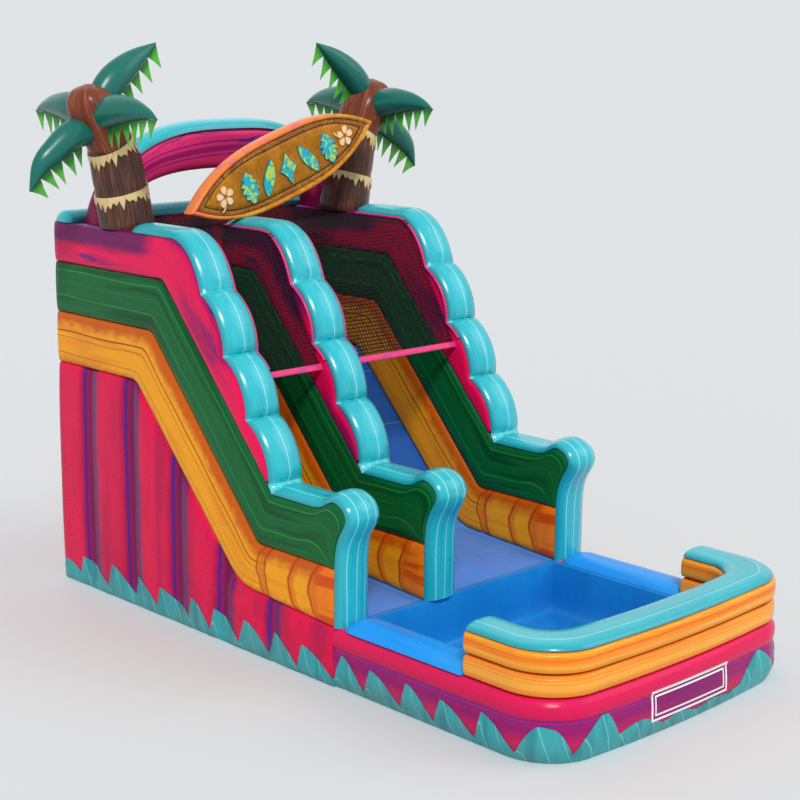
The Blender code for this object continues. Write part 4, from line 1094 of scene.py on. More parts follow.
def makeBumper():
    # two tubes and a teal one
    top, start = runout, pool["bumperStart"]
    half, tall = pool["rim"] / 2, pool["tubeHeight"] / 2 - hair / 2
    for i, label in enumerate(("Lower", "Upper")):
        middle = top + i * pool["tubeHeight"] + hair + tall
        section = [(half + half * power(c, 0.36), middle + tall * power(s, 0.42)) for c, s in circle(32)]
        across = [(height - middle + tall) / (2 * tall) for inward, height in section]
        paint = "bumperHigh" if i else "bumperLow"
        piece = poolBand("bumper" + label, section, across, start, paint, ((half, middle), 0.03))
        keep(piece, "bumper_" + label.lower())
    base, inset = top + 2 * pool["tubeHeight"] + hair, pool["capInset"]
    section = [(pool["rim"] - inset, base), (inset, base)]
    for u in steps(16):
        rise = 0.006 + (pool["capCrown"] - 0.006) * max(0.0, 1 - abs(2 * u - 1) ** 3.0) ** 0.7
        section.append((inset + u * (pool["rim"] - 2 * inset), base + rise))
    piece = poolBand("bumperCap", section, [1.0, 0.0] + steps(16), start, "bumperCap", ((half, base), 0.04), 70.0)
    keep(piece, "bumper_cap")


def crownedBand(name, centres, across, half, crown, material, ends):
    # a band puffed upwards along a line of centres, round at its two ends
    lengths = lengthsOf(centres)
    rings = []
    for centre, distance in zip(centres, lengths):
        share = min(swell(distance / ends[0]), swell((lengths[-1] - distance) / ends[1]))
        wide = half * (0.55 + 0.45 * share)
        rise = crown * (0.12 + 0.88 * share)
        ring = [centre + across * (wide - 0.004), centre - across * (wide - 0.004)]
        for u in steps(16):
            t = 2 * u - 1
            height = 0.006 + (rise - 0.006) * max(0.0, 1 - abs(t) ** 2.4) ** 0.75
            ring.append(centre + across * (wide * t) + Vector((0.0, 0.0, height)))
        rings.append(ring)
    return skin(name, rings, [1.0, 0.0] + steps(16), lengths, material, sharp=70.0)


def spaced(start, end, spacing=0.06):
    # points along a straight line, closer together at its ends
    fine = [0.0, 0.012, 0.03, 0.06]
    length = (end - start).length
    inner = length - 2 * fine[-1]
    places = fine + [fine[-1] + inner * share for share in steps(max(2, round(inner / spacing)))[1:-1]]
    places += [length - each for each in reversed(fine)]
    return [start.lerp(end, place / length) for place in places]


def makeCopings():
    half, height = pool["rim"] / 2, runout + hair
    for side, toward in (("left", -1), ("right", 1)):
        x = toward * (outerSide - half)
        line = spaced(at(x, pool["copingStart"], height), at(x, pool["bumperStart"] - hair, height))
        piece = crownedBand(side + "Coping", line, Vector((1, 0, 0)), half, pool["copingCrown"], "coping",
                (0.12, 0.03))
        keep(piece, "coping_" + side)


print("pool")
makePoolWall()
makeLiner()
makeBumper()
makeCopings()

# Beds and platform

beds = dict(
    thick=0.2, puff=0.01, lip=0.024, stepRadius=0.068, stepCount=5, stepFirst=0.12, stepLast=0.9,
    webThick=0.04, webBelly=0.012, deckChannels=8, deckPuff=0.012, deckEdge=0.025,
)


def bedUnder():
    under = offsetLine([Vector(each) for each in (deckEdge, tower["bedFoot"], runoutEdge)], -beds["thick"])
    share = (deckDepth - under[0].x) / (under[1].x - under[0].x)
    return [under[0].lerp(under[1], share), under[1], Vector((wallEnd, runout - beds["thick"]))]


def channelled(share, channels):
    # 1 on a channel's back, 0 in the seams
    return abs(sin(pi * share * channels)) ** 0.55


def bedPanel(name, span, channels, node):
    # a puffed floor, drawn in along its sides and seams
    top, under = resample(bedLine(deckDepth), 0.05), bedUnder()
    low, high, lip = span[0] + hair, span[1] - hair, beds["lip"]
    shares = steps(8 * channels)
    rings, netShadows = [], []
    for i, (depth, height) in enumerate(top):
        ring = []
        for share in shares:
            drop = beds["puff"] * (1 - channelled(share, channels)) + (0.003 if share in (0, 1) else 0.0)
            ring.append(at(low + (high - low) * share, depth, height - hair - drop))
        floor = heightOn(under, depth) + hair
        for x, z in ((high + lip, height - hair), (high + lip, height - 0.02), (high, floor), (low, floor),
                (low - lip, height - 0.02), (low - lip, height - hair)):
            ring.append(at(x, depth, z))
        rings.append(ring)
        # painted shadow of the slope net, full between heights 0.8 and 2.05
        netShadows.append(smoothStep(0.56, 0.8, height) * smoothStep(2.24, 2.05, height) if i else 0.0)
    across = shares + [1.02, 1.03, 1.0, 0.0, -0.03, -0.02]
    piece = skin(name, rings, across, lengthsOf(top), "bed", {"slope": netShadows}, sharp=60.0)
    keep(piece, node)


def climbSteps():
    # round steps, full in their middle and drawn in where they are sewn to the bed
    top, foot = Vector(deckEdge), Vector(tower["bedFoot"])
    left, right = climbLane[0] + 0.004, climbLane[1] - 0.004
    body = bmesh.new()
    for step in steps(beds["stepCount"] - 1):
        spot = top.lerp(foot, beds["stepFirst"] + (beds["stepLast"] - beds["stepFirst"]) * step)
        rings = []
        for u in steps(28):
            radius = beds["stepRadius"] * (0.55 + 0.45 * swell(min(u, 1 - u) * (right - left) / 0.05))
            radius *= 1 - 0.1 * foldNear(u, (1 / 3, 2 / 3), 0.02)
            centre = at(left + (right - left) * u, *spot)
            rings.append([centre + Vector((0.0, c, s)) * radius for c, s in circle(20)])
        addSkin(body, rings, steps(20), [u * (right - left) for u in steps(28)])
    keep(finishMesh("climbSteps", body, "step"), "climb_bed")


def platform():
    # channels run from the rear wall to the lanes
    back, front = tower["rear"] + 2 * hair, deckDepth - hair
    left, right = tower["leftInner"] + hair, innerSide - hair
    shares = steps(beds["deckChannels"] * 8)
    depths = spread(back, front, 20)
    rings = []
    for depth in depths:
        edge = beds["deckEdge"] * (1 - swell(min(depth - back, front - depth) / 0.05))
        ring = []
        for u in shares:
            drop = beds["deckPuff"] * (1 - channelled(u, beds["deckChannels"])) + edge
            ring.append(at(left + (right - left) * u, depth, deckTop - hair - drop))
        low = deckTop - beds["thick"] + edge
        rings.append(ring + [at(right, depth, low), at(left, depth, low)])
    piece = skin("platform", rings, shares + [1.0, 0.0], depths, "deck", sharp=60.0)
    keep(piece, "platform_deck")


def baffle(name, depth, span, node):
    # a cloth web between the ground and the bed, drawn taut with a slight belly
    high = heightOn(bedUnder(), depth + beds["webThick"]) - 2 * hair
    left, right = span[0] + 0.002, span[1] - 0.002
    heights = spread(0.0, high, 14)
    rings = []
    for row, height in zip(steps(14), heights):
        ring = []
        for toward, shares in ((1, steps(12)), (-1, steps(12)[::-1])):
            for u in shares:
                belly = beds["webBelly"] * sin(pi * u) * sin(pi * row)
                middle = depth + beds["webThick"] / 2 + belly
                ring.append(at(left + (right - left) * u, middle + toward * 0.0015, height))
        rings.append(ring)
    piece = skin(name, rings, andBack(steps(12)), heights, "web")
    keep(piece, node)


print("beds")
bedPanel("slideBed", slideLane, 3, "slide_bed")
bedPanel("climbBed", climbLane, 2, "climb_bed")
climbSteps()
platform()
baffle("upperBaffle", 1.75, slideLane, "slide_baffle_upper")
baffle("lowerBaffle", 2.35, slideLane, "slide_baffle_lower")
baffle("climbBaffle", 2.05, climbLane, "climb_baffle")

# Rear chambers, the tube on them and the arch

zipPlace = dict(
    x=-0.55, height=0.42, length=0.56, tape=0.05, overlap=0.03, drop=0.16, hem=0.012, pitch=0.006,
    tooth=(0.0028, 0.0015, 0.005),
)
sleeve = dict(x=0.75, height=0.36, radius=0.16, airWay=0.147, length=0.3494, hem=0.035, film=0.0022)
rear = dict(tubes=4, rows=22, columns=60, crown=0.012, topCrown=0.11)


def flatAt(x, z):
    # the wall stays flat behind the zip and its flap
    return smoothStep(0.42, 0.32, abs(x - zipPlace["x"])) * smoothStep(0.2, 0.3, z) * smoothStep(0.75, 0.6, z)


def rearPanel(name, low, high, node, hole=None):
    left, right = tower["leftInner"] + hair, innerSide - hair
    seams = spread(left, right, rear["tubes"])[1:-1]
    shares = seamShares(rear["rows"])
    places = spread(left, right, rear["columns"])
    rings, folds = [], []
    for x in places:
        fold = foldNear(x, seams, tubes["width"])
        back, front = [], []
        for share in shares:
            z = low + (high - low) * share
            ends = smoothStep(0.0, 0.12, z - low) * smoothStep(0.0, 0.12, high - z)
            push = rear["crown"] * crowned(share) * (1 - flatAt(x, z))
            push -= drawnIn(min(x - left, right - x, z - low, high - z))
            push -= fold * ends * pressure["tuck"] * pressure["rearFold"]
            back.append(at(x, -push, z))
            front.append(at(x, tower["rear"] + min(push, 0.0), z))
        rings.append(back + front[::-1])
        folds.append(fold)
    along = [x - left for x in places]
    piece = skin(name, rings, andBack(shares), along, "tube", {"crease": folds})
    if hole:
        cutWith(piece, hole)
    keep(piece, node)


def cutWith(piece, cutter):
    # takes the cutter's solid out of the piece
    modifier = piece.modifiers.new("hole", "BOOLEAN")
    modifier.object = cutter
    modifier.operation = "DIFFERENCE"
    modifier.solver = "EXACT"
    bpy.context.view_layer.update()
    graph = bpy.context.evaluated_depsgraph_get()
    mesh = bpy.data.meshes.new_from_object(piece.evaluated_get(graph))
    piece.modifiers.clear()
    piece.data = mesh
    bpy.data.objects.remove(cutter, do_unlink=True)


def airWayCutter():
    centre = at(sleeve["x"], 0.0, sleeve["height"])
    axis = Vector((0, 1, 0))
    first = axis.orthogonal().normalized()
    second = axis.cross(first)
    rings = [[centre + axis * reach + (first * c + second * s) * sleeve["airWay"] for c, s in circle(40)]
            for reach in (-0.15, 0.1)]
    return skin("airWay", rings, steps(40), [0.0, 0.25], "sleeve")


def rearTube():
    half, base = tower["rear"] / 2, wallTop + hair
    line = spaced(at(tower["leftOuter"], half, base), at(outerSide, half, base), 0.08)
    piece = crownedBand("rearTube", line, Vector((0, -1, 0)), half, rear["topCrown"], "rearTube", (0.05, 0.05))
    keep(piece, "rear_top_tube")


arch = dict(
    back=0.285, deep=0.27, lean=14.0, drop=0.4, span=1.475, innerSpan=1.285, rise=1.37, innerRise=0.9,
    fullness=2.9, innerFullness=3.1, cap=0.05, capFoot=0.42, steps=90, footShade=3.84,
)


def archLine(span, rise, fullness):
    line = []
    for share in steps(400):
        c, s = cos(pi * share), sin(pi * share)
        line.append(Vector((span * power(c, 2 / fullness), rise * abs(s) ** (2 / fullness))))
    return evenly(line, arch["steps"])


def makeArch():
    a = arch
    stand = at(0.0, a["back"] + a["deep"] / 2, wallTop)
    lean = Matrix.Rotation(pi / 2 + radians(a["lean"]), 4, "X")
    lay = Matrix.Translation(stand) @ lean @ Matrix.Translation((0.0, -a["drop"], 0.0))
    outer = archLine(a["span"], a["rise"], a["fullness"])
    inner = archLine(a["innerSpan"], a["innerRise"], a["innerFullness"])
    capLow = wallTop + a["capFoot"]
    deep = a["deep"] / 2
    lengths = lengthsOf(outer)
    rings, capRings, capAlong, feet = [], [], [], []
    for o, i, distance in zip(outer, inner, lengths):
        out = (o - i).normalized()
        height = (lay @ o.to_3d()).z
        step = a["cap"] * smoothStep(capLow - 0.01, capLow + 0.1, height)
        tip = o - out * (step + hair)
        centre, half = (tip + i) / 2, (tip - i).length / 2
        ring = [(*(centre + out * (half * power(c, 0.55))), deep * power(s, 0.55)) for c, s in circle(28)]
        rings.append([lay @ Vector(point) for point in ring])
        # painted shade on the arch's feet, below footShade, carried in the crease mark
        feet.append(smoothStep(a["footShade"] + 0.2, a["footShade"], height))
        if height > capLow + 0.012:
            seat = o - out * (step - hair)
            ring = [(*seat, deep - 0.02), (*seat, 0.02 - deep)]
            for u in steps(12):
                t = 2 * u - 1
                lift = 0.004 + (step + 0.006) * max(0.0, 1 - abs(t) ** 2.6) ** 0.7
                ring.append((*(seat + out * lift), (deep - 0.012) * t))
            capRings.append([lay @ Vector(point) for point in ring])
            capAlong.append(distance)
    body = bmesh.new()
    crest = rings[len(rings) // 2]
    around = lengthsOf(crest + crest[:1])
    addSkin(body, rings, [each / around[-1] for each in around], lengths, {"crease": feet})
    # cut level where it stands on the walls
    cut = bmesh.ops.bisect_plane(
        body, geom=body.verts[:] + body.edges[:] + body.faces[:], dist=1e-6,
        plane_co=(0, 0, wallTop + hair), plane_no=(0, 0, 1), clear_inner=True)["geom_cut"]
    bmesh.ops.edgenet_fill(body, edges=[each for each in cut if isinstance(each, bmesh.types.BMEdge)])
    keep(finishMesh("archTube", body, "arch"), "arch")
    piece = skin("archCap", capRings, [1.0, 0.0] + steps(12), capAlong, "archCap", sharp=70.0)
    keep(piece, "arch_cap")


print("rear and arch")
rearPanel("rearFlank", 0.0, deckTop - hair, "rear_flank", airWayCutter())
rearPanel("rearWall", deckTop + hair, wallTop - hair, "rear_wall")
rearTube()
makeArch()

# Palms

palm = dict(
    inset=0.23, depth=0.9, height=0.7, radius=0.265, topRadius=0.24, lean=0.13, sides=40,
    crownLean=0.38, crownTop=1.33, crownRadius=0.265, frondRoot=0.98, rootLean=0.9,
    frondLength=0.95, halfDepth=0.15, halfWidth=0.135, underShare=0.85, frondSides=20,
    toothLength=0.185, toothStart=0.13, toothCount=dict(level=6, droop=5, raised=5), collarTeeth=26,
)
# each row: share of the height, share of the lean, share of the radius
crownShares = [(0.0, 0.0, 0.88), (0.3, 0.42, 0.93), (0.55, 0.72, 1.0), (0.75, 0.9, 0.9), (0.91, 1.0, 0.62),
        (1.0, 1.0, 0.12)]
# each row: reach and rise as shares of the frond's length, and its fullness
frondShares = {
    "level": [(0.02, 0.0, 0.95), (0.21, 0.085, 1.05), (0.405, 0.126, 1.0), (0.66, 0.137, 0.72), (0.87, 0.116, 0.36),
        (1.02, 0.068, 0.05)],
    "droop": [(0.05, -0.08, 0.95), (0.24, -0.115, 1.0), (0.44, -0.247, 0.87), (0.61, -0.39, 0.62), (0.74, -0.62, 0.05)],
    "raised": [(0.05, 0.17, 0.95), (0.19, 0.347, 1.05), (0.334, 0.474, 0.97), (0.526, 0.61, 0.65), (0.744, 0.75, 0.05)],
}
# seam heights on the outer and the inner side of the trunk, and the band's depth
collars = {"low": (0.29, 0.42, 0.125), "high": (0.67, 0.9, 0.125)}


def palmBase(toward):
    return at(toward * (outerSide - palm["inset"]), palm["depth"], wallTop + hair)


def trunkPoint(toward, angle, up, grow=0.0):
    # a point on the trunk: angle round it, height above the wall top
    share = up / palm["height"]
    pinch = 0.01 * exp(-((up - 0.34) / 0.05) ** 2)
    radius = palm["radius"] + (palm["topRadius"] - palm["radius"]) * min(share, 1.0) - pinch + grow
    radius *= 1 + 0.012 * cos(angle * 9)
    lean = palm["lean"] * min(share, 1.0)
    above = max(0.0, up - palm["height"]) / (palm["crownTop"] - palm["height"])
    lean += (palm["crownLean"] - palm["lean"]) * 1.4 * above
    return palmBase(toward) + Vector((toward * lean + radius * cos(angle), radius * sin(angle), up))


def makeTrunk(side, toward):
    angles = spread(0.0, fullTurn, palm["sides"])[:-1]
    heights = spread(0.0, palm["height"], 22)
    rings = [[trunkPoint(toward, a, h, -0.012 * exp(-(h / 0.015))) for a in angles] for h in heights]
    piece = skin(side + "Trunk", rings, steps(palm["sides"]), heights, "trunk")
    keep(piece, "trunk_" + side)


def makeCollar(side, toward, label):
    # a cream band with a toothed lower edge, higher on the inner side
    outerHeight, innerHeight, deep = collars[label]
    random = noise.random_vector
    noise.seed_set(11 if side == "left" else 12)
    count = palm["collarTeeth"] * 2
    stations = []
    for k in range(count):
        angle = fullTurn * k / count + 0.02 * random()[0]
        top = outerHeight + (innerHeight - outerHeight) * (1 - toward * cos(angle)) / 2
        drop = deep * (0.55 + 0.25 * random()[1]) if k % 2 else deep * (1.15 + 0.45 * random()[2])
        stations.append((angle, top, drop * 0.72))
    rings = []
    for angle, top, drop in stations + stations[:1]:
        ring = [trunkPoint(toward, angle, top - drop * (1 - r), 0.007 + 0.005 * r) for r in steps(5)]
        ring += [trunkPoint(toward, angle, top - drop * (1 - r), 0.0005) for r in reversed(steps(5))]
        rings.append(ring)
    body = bmesh.new()
    addSkin(body, rings, andBack(steps(5)), [i * 0.03 for i in range(len(rings))], caps=False)
    weld(body)
    keep(finishMesh(side + "Collar" + label.capitalize(), body, "collar", 25.0))


def makeCrown(side, toward):
    start = palmBase(toward) + Vector((toward * palm["lean"], 0.0, palm["height"] + hair))
    end = at(palmBase(toward).x + toward * palm["crownLean"], palm["depth"], wallTop + palm["crownTop"])
    rings, along = [], []
    for up, lean, full in throughPoints([Vector(row) for row in crownShares], 5):
        centre = Vector((start.x + (end.x - start.x) * lean, start.y, start.z + (end.z - start.z) * up))
        ring = []
        for share, (c, s) in zip(steps(palm["sides"]), circle(palm["sides"])):
            lobes = 1 + 0.018 * cos(fullTurn * share * 6 + 0.5) * min(1.0, full * 1.2)
            ring.append(centre + Vector((c, s, 0.0)) * palm["crownRadius"] * full * lobes)
        rings.append(ring)
        along.append(up * (end.z - start.z))
    piece = skin(side + "Crown", rings, steps(palm["sides"]), along, "crown")
    keep(piece, "crown_" + side)


def makeFrond(name, root, direction, shape, node):
    up = Vector((0.0, 0.0, 1.0))
    across = direction.cross(up)
    rows = throughPoints([Vector(row) for row in frondShares[shape]], 6)
    centres = [root + (direction * r + up * z) * palm["frondLength"] for r, z, full in rows]
    lengths = lengthsOf(centres)
    rings, marks, frames = [], [], []
    for i, (r, z, full) in enumerate(rows):
        ahead = (centres[min(i + 1, len(centres) - 1)] - centres[max(i - 1, 0)]).normalized()
        normal = across.cross(ahead).normalized()
        if normal.z < 0:
            normal = -normal
        ring, mark = [], []
        for c, s in circle(palm["frondSides"]):
            wide = power(c, 1.15) * palm["halfWidth"] * full
            tall = power(s, 1.15) * palm["halfDepth"] * full * (1 if s > 0 else palm["underShare"])
            ring.append(centres[i] + across * wide + normal * tall)
            # painted shade on the underside and near the root, carried in the crease mark
            mark.append(max(0.9 * max(0.0, -s), 0.8 * smoothStep(0.22, 0.0, lengths[i])))
        rings.append(ring)
        marks.append(mark)
        frames.append((centres[i], normal, ahead, full))
    piece = skin(name, rings, steps(palm["frondSides"]), lengths, "leaf", {"crease": marks}, sharp=60.0)
    keep(piece, node)
    makeFringe(name + "Fringe", frames, lengths, across, palm["toothCount"][shape])


def makeFringe(name, frames, lengths, across, count):
    # pointed tongues sewn along the keel of a frond
    body = bmesh.new()
    uvLayer = body.loops.layers.uv.verify()
    shade = body.verts.layers.float.new("crease")
    total = lengths[-1]

    def keel(distance):
        i = next(i for i in range(len(lengths) - 1) if distance <= lengths[i + 1] or i == len(lengths) - 2)
        t = (distance - lengths[i]) / (lengths[i + 1] - lengths[i])
        centre, normal, ahead = (a.lerp(b, t) for a, b in zip(frames[i][:3], frames[i + 1]))
        full = frames[i][3] + (frames[i + 1][3] - frames[i][3]) * t
        return centre - normal * (palm["halfDepth"] * full * palm["underShare"] * 0.97), ahead, normal

    for k in range(count):
        first, last = (total * (palm["toothStart"] + (1 - palm["toothStart"]) * (k + i) / count) for i in (0, 1))
        a, b = keel(first)[0], keel(min(last, total * 0.995))[0]
        middle, ahead, normal = keel((first + last) / 2)
        hang = (Vector((0.0, 0.0, -0.25)) - normal).normalized()
        grown = 0.9 + 0.25 * sin(pi * (k + 0.6) / (count + 0.4)) + 0.05 * sin(k * 2.3)
        tip = middle + ahead * 0.01 + hang * palm["toothLength"] * grown
        lean = across * (0.02 * sin(k * 1.7 + 1.0))
        left, right = a.lerp(tip, 0.5), b.lerp(tip, 0.5)
        narrow = (right - left) * 0.08
        shape = [(a, 1.0), (left + narrow + lean * 0.5, 0.35), (tip + lean, 0.0), (right - narrow + lean * 0.5, 0.35),
                (b, 1.0)]
        faces = []
        for toward in (1, -1):
            verts = [body.verts.new(p + across * (0.003 * toward)) for p, dark in shape]
            for vert, (p, dark) in zip(verts, shape):
                # painted shade at the top of each tongue, under the frond, and near the root
                vert[shade] = min(1.0, dark * 0.95 + 0.35 * smoothStep(0.6, 0.0, first / total))
            faces.append(verts)
        body.faces.new(faces[0])
        body.faces.new(faces[1][::-1])
        for i in range(5):
            j = (i + 1) % 5
            body.faces.new((faces[0][j], faces[0][i], faces[1][i], faces[1][j]))
    bmesh.ops.triangulate(body, faces=[face for face in body.faces if len(face.verts) > 4])
    for face in body.faces:
        for loop in face.loops:
            loop[uvLayer].uv = (loop.vert.co.dot(across), loop.vert.co.z)
    keep(finishMesh(name, body, "fringe", 20.0))


print("palms")
for side, toward in (("left", -1), ("right", 1)):
    makeTrunk(side, toward)
    makeCollar(side, toward, "low")
    makeCollar(side, toward, "high")
    makeCrown(side, toward)
    rootX = toward * (outerSide - palm["inset"] + palm["crownLean"] * palm["rootLean"])
    root = at(rootX, palm["depth"], wallTop + palm["frondRoot"])
    fronds = (("Outer", (toward, 0, 0), "droop"), ("Inner", (-toward, 0, 0), "raised"), ("Front", (0, -1, 0), "level"),
            ("Back", (0, 1, 0), "level"))
    for label, direction, shape in fronds:
        makeFrond(side + "Frond" + label, root, Vector(direction), shape, f"frond_{side}_{label.lower()}")

# Sign

sign = dict(
    length=2.43, height=0.675, fullness=2.8, centre=(0.08, 1.43, 4.138), tilt=18.9, thick=0.1, rim=0.055, proud=0.02,
    mitre=1.62, border=0.055, groove=0.009, outlineSteps=44, motifHeight=0.33, motifLow=-0.03,
    diamondWidth=0.22, leafWidth=0.17, lobedWidth=0.26, lobes=5,
    motifs=((-0.485, -0.06, "lobed"), (-0.232, 0.42, "leaf"), (0.02, 0.0, "diamond"), (0.285, -0.5, "leaf"),
        (0.565, -0.12, "lobed")),
    flowers=((-0.787, 0.3, -2.1), (0.806, 0.1, 2.6)), petals=5, petalReach=0.062, petalSize=(0.045, 0.035),
)
signLay = (Matrix.Translation(at(*sign["centre"])) @ Matrix.Rotation(pi / 2, 4, "X")
        @ Matrix.Rotation(radians(sign["tilt"]), 4, "Z"))


def signOutline(inward=0.0):
    # the board's pointed outline, drawn in by a distance; its tips keep their slope
    long, tall = sign["length"] / 2 - inward * sign["mitre"], sign["height"] / 2 - inward
    fullness = sign["fullness"] * (sign["height"] / sign["length"]) * long / tall
    points = []
    for turn in (1, -1):
        for share in steps(sign["outlineSteps"])[:-1]:
            u = turn * cos(pi * share)
            points.append(Vector((u * long, turn * tall * (1 - abs(u) ** fullness))))
    return points


def onSign(name, body, materials, sharp=50.0):
    bmesh.ops.transform(body, matrix=signLay, verts=body.verts)
    return finishMesh(name, body, materials, sharp)


def makeRim():
    # a tube round the board
    half, wide = sign["thick"] / 2 + sign["proud"], sign["rim"] / 2
    sections = [(wide - wide * power(c, 0.7) + 0.0002, half * power(s, 0.6)) for c, s in circle(16)]
    outlines = [signOutline(inward) for inward, z in sections]
    rings = [[Vector((*outline[i], z)) for outline, (inward, z) in zip(outlines, sections)]
            for i in range(len(outlines[0]))]
    rings.append(rings[0])
    # share of the upper left, which gets the orange with painted highlights
    highlitOrange = []
    for ring in rings:
        upper = smoothStep(-0.02, 0.04, ring[0].y)
        highlitOrange.append(upper * smoothStep(0.9, 0.2, ring[0].x) + (1 - upper) * smoothStep(-0.85, -1.15, ring[0].x))
    body = bmesh.new()
    addSkin(body, rings, steps(16), lengthsOf([ring[0] for ring in rings]), {"crease": highlitOrange}, caps=False)
    weld(body)
    keep(onSign("signRim", body, "rim"), "sign_rim")


def makeBoard():
    # each row: distance inwards, height over the middle, material
    face = sign["thick"] / 2
    first = sign["rim"] + 0.0005
    second = first + sign["border"]
    third = second + sign["groove"]
    rows = [(first, -face, 0), (first, face - 0.008, 0), (first + 0.008, face, 0), (second - 0.004, face, 0),
            (second, face - 0.004, 1), (third, face - 0.004, 1), (third + 0.004, face, 2),
            (third + 0.04, face + 0.005, 2), (third + 0.08, face + 0.009, 2), (third + 0.12, face + 0.01, 2)]
    body = bmesh.new()
    loops = [[body.verts.new((*p, z)) for p in signOutline(inward)] for inward, z, kind in rows]
    for low, high, (inward, z, kind) in zip(loops, loops[1:], rows[1:]):
        joinLoops(body, low, high, kind, True)
    body.faces.new(loops[0][::-1])
    front = body.faces.new(loops[-1])
    front.material_index = 2
    bmesh.ops.triangulate(body, faces=[front])
    weld(body, 1e-6)
    keep(onSign("signBoard", body, "border groove board"), "sign_board")


def joinLoops(body, lower, upper, kind, smooth=False):
    # faces between two closed loops, none where both have met in a point
    for i in range(len(lower)):
        j = i + 1 - len(lower)
        if max((lower[i].co - lower[j].co).length, (upper[i].co - upper[j].co).length) >= 1e-7:
            face = body.faces.new((lower[i], lower[j], upper[j], upper[i]))
            face.material_index = kind
            face.smooth = smooth


def raised(body, outline, lift, taper=0.004):
    # a flat shape with a bevelled edge standing on the board
    base = sign["thick"] / 2 + 0.01
    outline = [Vector(p) for p in outline]
    centre = sum(outline, Vector((0.0, 0.0))) / len(outline)
    drawn = [p + (centre - p).normalized() * taper for p in outline]
    levels = ((outline, base - 0.004), (outline, base + lift - taper), (drawn, base + lift))
    low, middle, high = ([body.verts.new((*p, z)) for p in line] for line, z in levels)
    joinLoops(body, low, middle, 1)
    joinLoops(body, middle, high, 1)
    body.faces.new(high).material_index = 0
    body.faces.new(low[::-1]).material_index = 1


def leafOutline(width, lobes):
    # a leaf: two bowed edges that meet in points, cut into lobes where it has them
    points = []
    for t in steps(40):
        wide = width / 2 * sin(pi * t) ** 0.8 * (1 - 0.25 * t)
        points.append((wide * (1 - 0.48 * (t * lobes % 1.0)), (t - 0.5) * sign["motifHeight"]))
    return points + [(-x, y) for x, y in reversed(points[1:-1])]


def diamondOutline(width):
    points = []
    tall = sign["motifHeight"] / 2
    corners = [(width / 2, 0.0), (0.0, tall), (-width / 2, 0.0), (0.0, -tall)]
    for a, b in zip(corners, corners[1:] + corners[:1]):
        for t in steps(6)[:-1]:
            pull = 1 - 0.16 * sin(pi * t)
            points.append(((a[0] + (b[0] - a[0]) * t) * pull, (a[1] + (b[1] - a[1]) * t) * pull))
    return points


def makeMotifs():
    body = bmesh.new()
    shapes = {
        "lobed": leafOutline(sign["lobedWidth"], sign["lobes"]), "leaf": leafOutline(sign["leafWidth"], 0),
        "diamond": diamondOutline(sign["diamondWidth"]),
    }
    for x, slant, kind in sign["motifs"]:
        raised(body, [(x + px + slant * py, sign["motifLow"] + py) for px, py in shapes[kind]], 0.016)
    keep(onSign("signMotifs", body, "motif motifEdge", 30.0))


def makeFlowers():
    body = bmesh.new()
    long, wide = sign["petalSize"]
    for x, turn, stem in sign["flowers"]:
        centre = Vector((x, 0.0))
        for petal in range(sign["petals"]):
            angle = turn + fullTurn * petal / sign["petals"]
            middle = centre + Vector((cos(angle), sin(angle))) * sign["petalReach"]
            rotation = Matrix.Rotation(angle, 2)
            outline = [middle + rotation @ Vector((long * c, wide * (1 + 0.3 * c) * s)) for c, s in circle(18)]
            raised(body, outline, 0.011 + 0.001 * (petal % 2), 0.006)
        run = Vector((cos(stem), sin(stem)))
        edges = {1: [], -1: []}
        for toward, edge in edges.items():
            for t in steps(8):
                bend = 0.02 * sin(pi * t) + toward * 0.008 * (0.5 + 0.6 * t)
                edge.append(centre + run * (0.03 + 0.12 * t) + normalTo(run) * bend)
        raised(body, edges[1] + edges[-1][::-1], 0.009, 0.0008)
    keep(onSign("signFlowers", body, "cream petalEdge", 30.0))


print("sign")
makeRim()
makeBoard()
makeMotifs()
makeFlowers()

# Nets and their trimming

nets = dict(
    height=3.588, foot=2.4, pitch=0.037, strand=0.009, roofStrand=0.0064, thick=0.0022, hem=0.052, hemThick=0.014,
    sag=0.025, kneeRadius=0.12, pipe=0.014,
)


def makeNet(name, span, line, node, strand):
    # a grid of panes, each cut out but for its edge, laid along a line
    lengths = lengthsOf(line)
    width, total = span[1] - span[0], lengths[-1]
    body = bmesh.new()
    bmesh.ops.create_grid(
        body, x_segments=round(width / nets["pitch"]), y_segments=round(total / nets["pitch"]), size=0.5)
    panes = list(body.faces)
    for vert in body.verts:
        vert.co = ((vert.co.x + 0.5) * width, (vert.co.y + 0.5) * total, 0.0)
    bmesh.ops.inset_individual(body, faces=panes, thickness=strand / 2, use_even_offset=True)
    bmesh.ops.delete(body, geom=panes, context="FACES")
    for vert in body.verts:
        u, distance = vert.co.x / width, vert.co.y
        run = (pointAt(line, lengths, distance + 0.03) - pointAt(line, lengths, distance - 0.03)).normalized()
        drop = nets["sag"] * sin(pi * u) * sin(pi * min(1.0, max(0.0, distance / total))) ** 0.5
        vert.co = at(span[0] + vert.co.x, *(pointAt(line, lengths, distance) - normalTo(run) * drop))
    bmesh.ops.solidify(body, geom=list(body.faces), thickness=nets["thick"])
    piece = finishMesh(name, body, "net", 40.0)
    keep(piece, node)
    return piece, (width, total), width * total * (1 - (1 - strand / nets["pitch"]) ** 2)


def puffedHem(name, start, end, span, thick):
    # a puffed strip across a lane
    wide = span[1] - span[0]
    normal = normalTo(end - start)
    rings = []
    for share in steps(16):
        spots = [start.lerp(end, (1 - c) / 2) + normal * (thick / 2 * power(s, 0.6)) for c, s in circle(14)]
        rings.append([at(span[0] + wide * share, *spot) for spot in spots])
    return skin(name, rings, steps(14), spread(0.0, wide, 16), "trim")


def inset(span, gap):
    return span[0] + gap, span[1] - gap


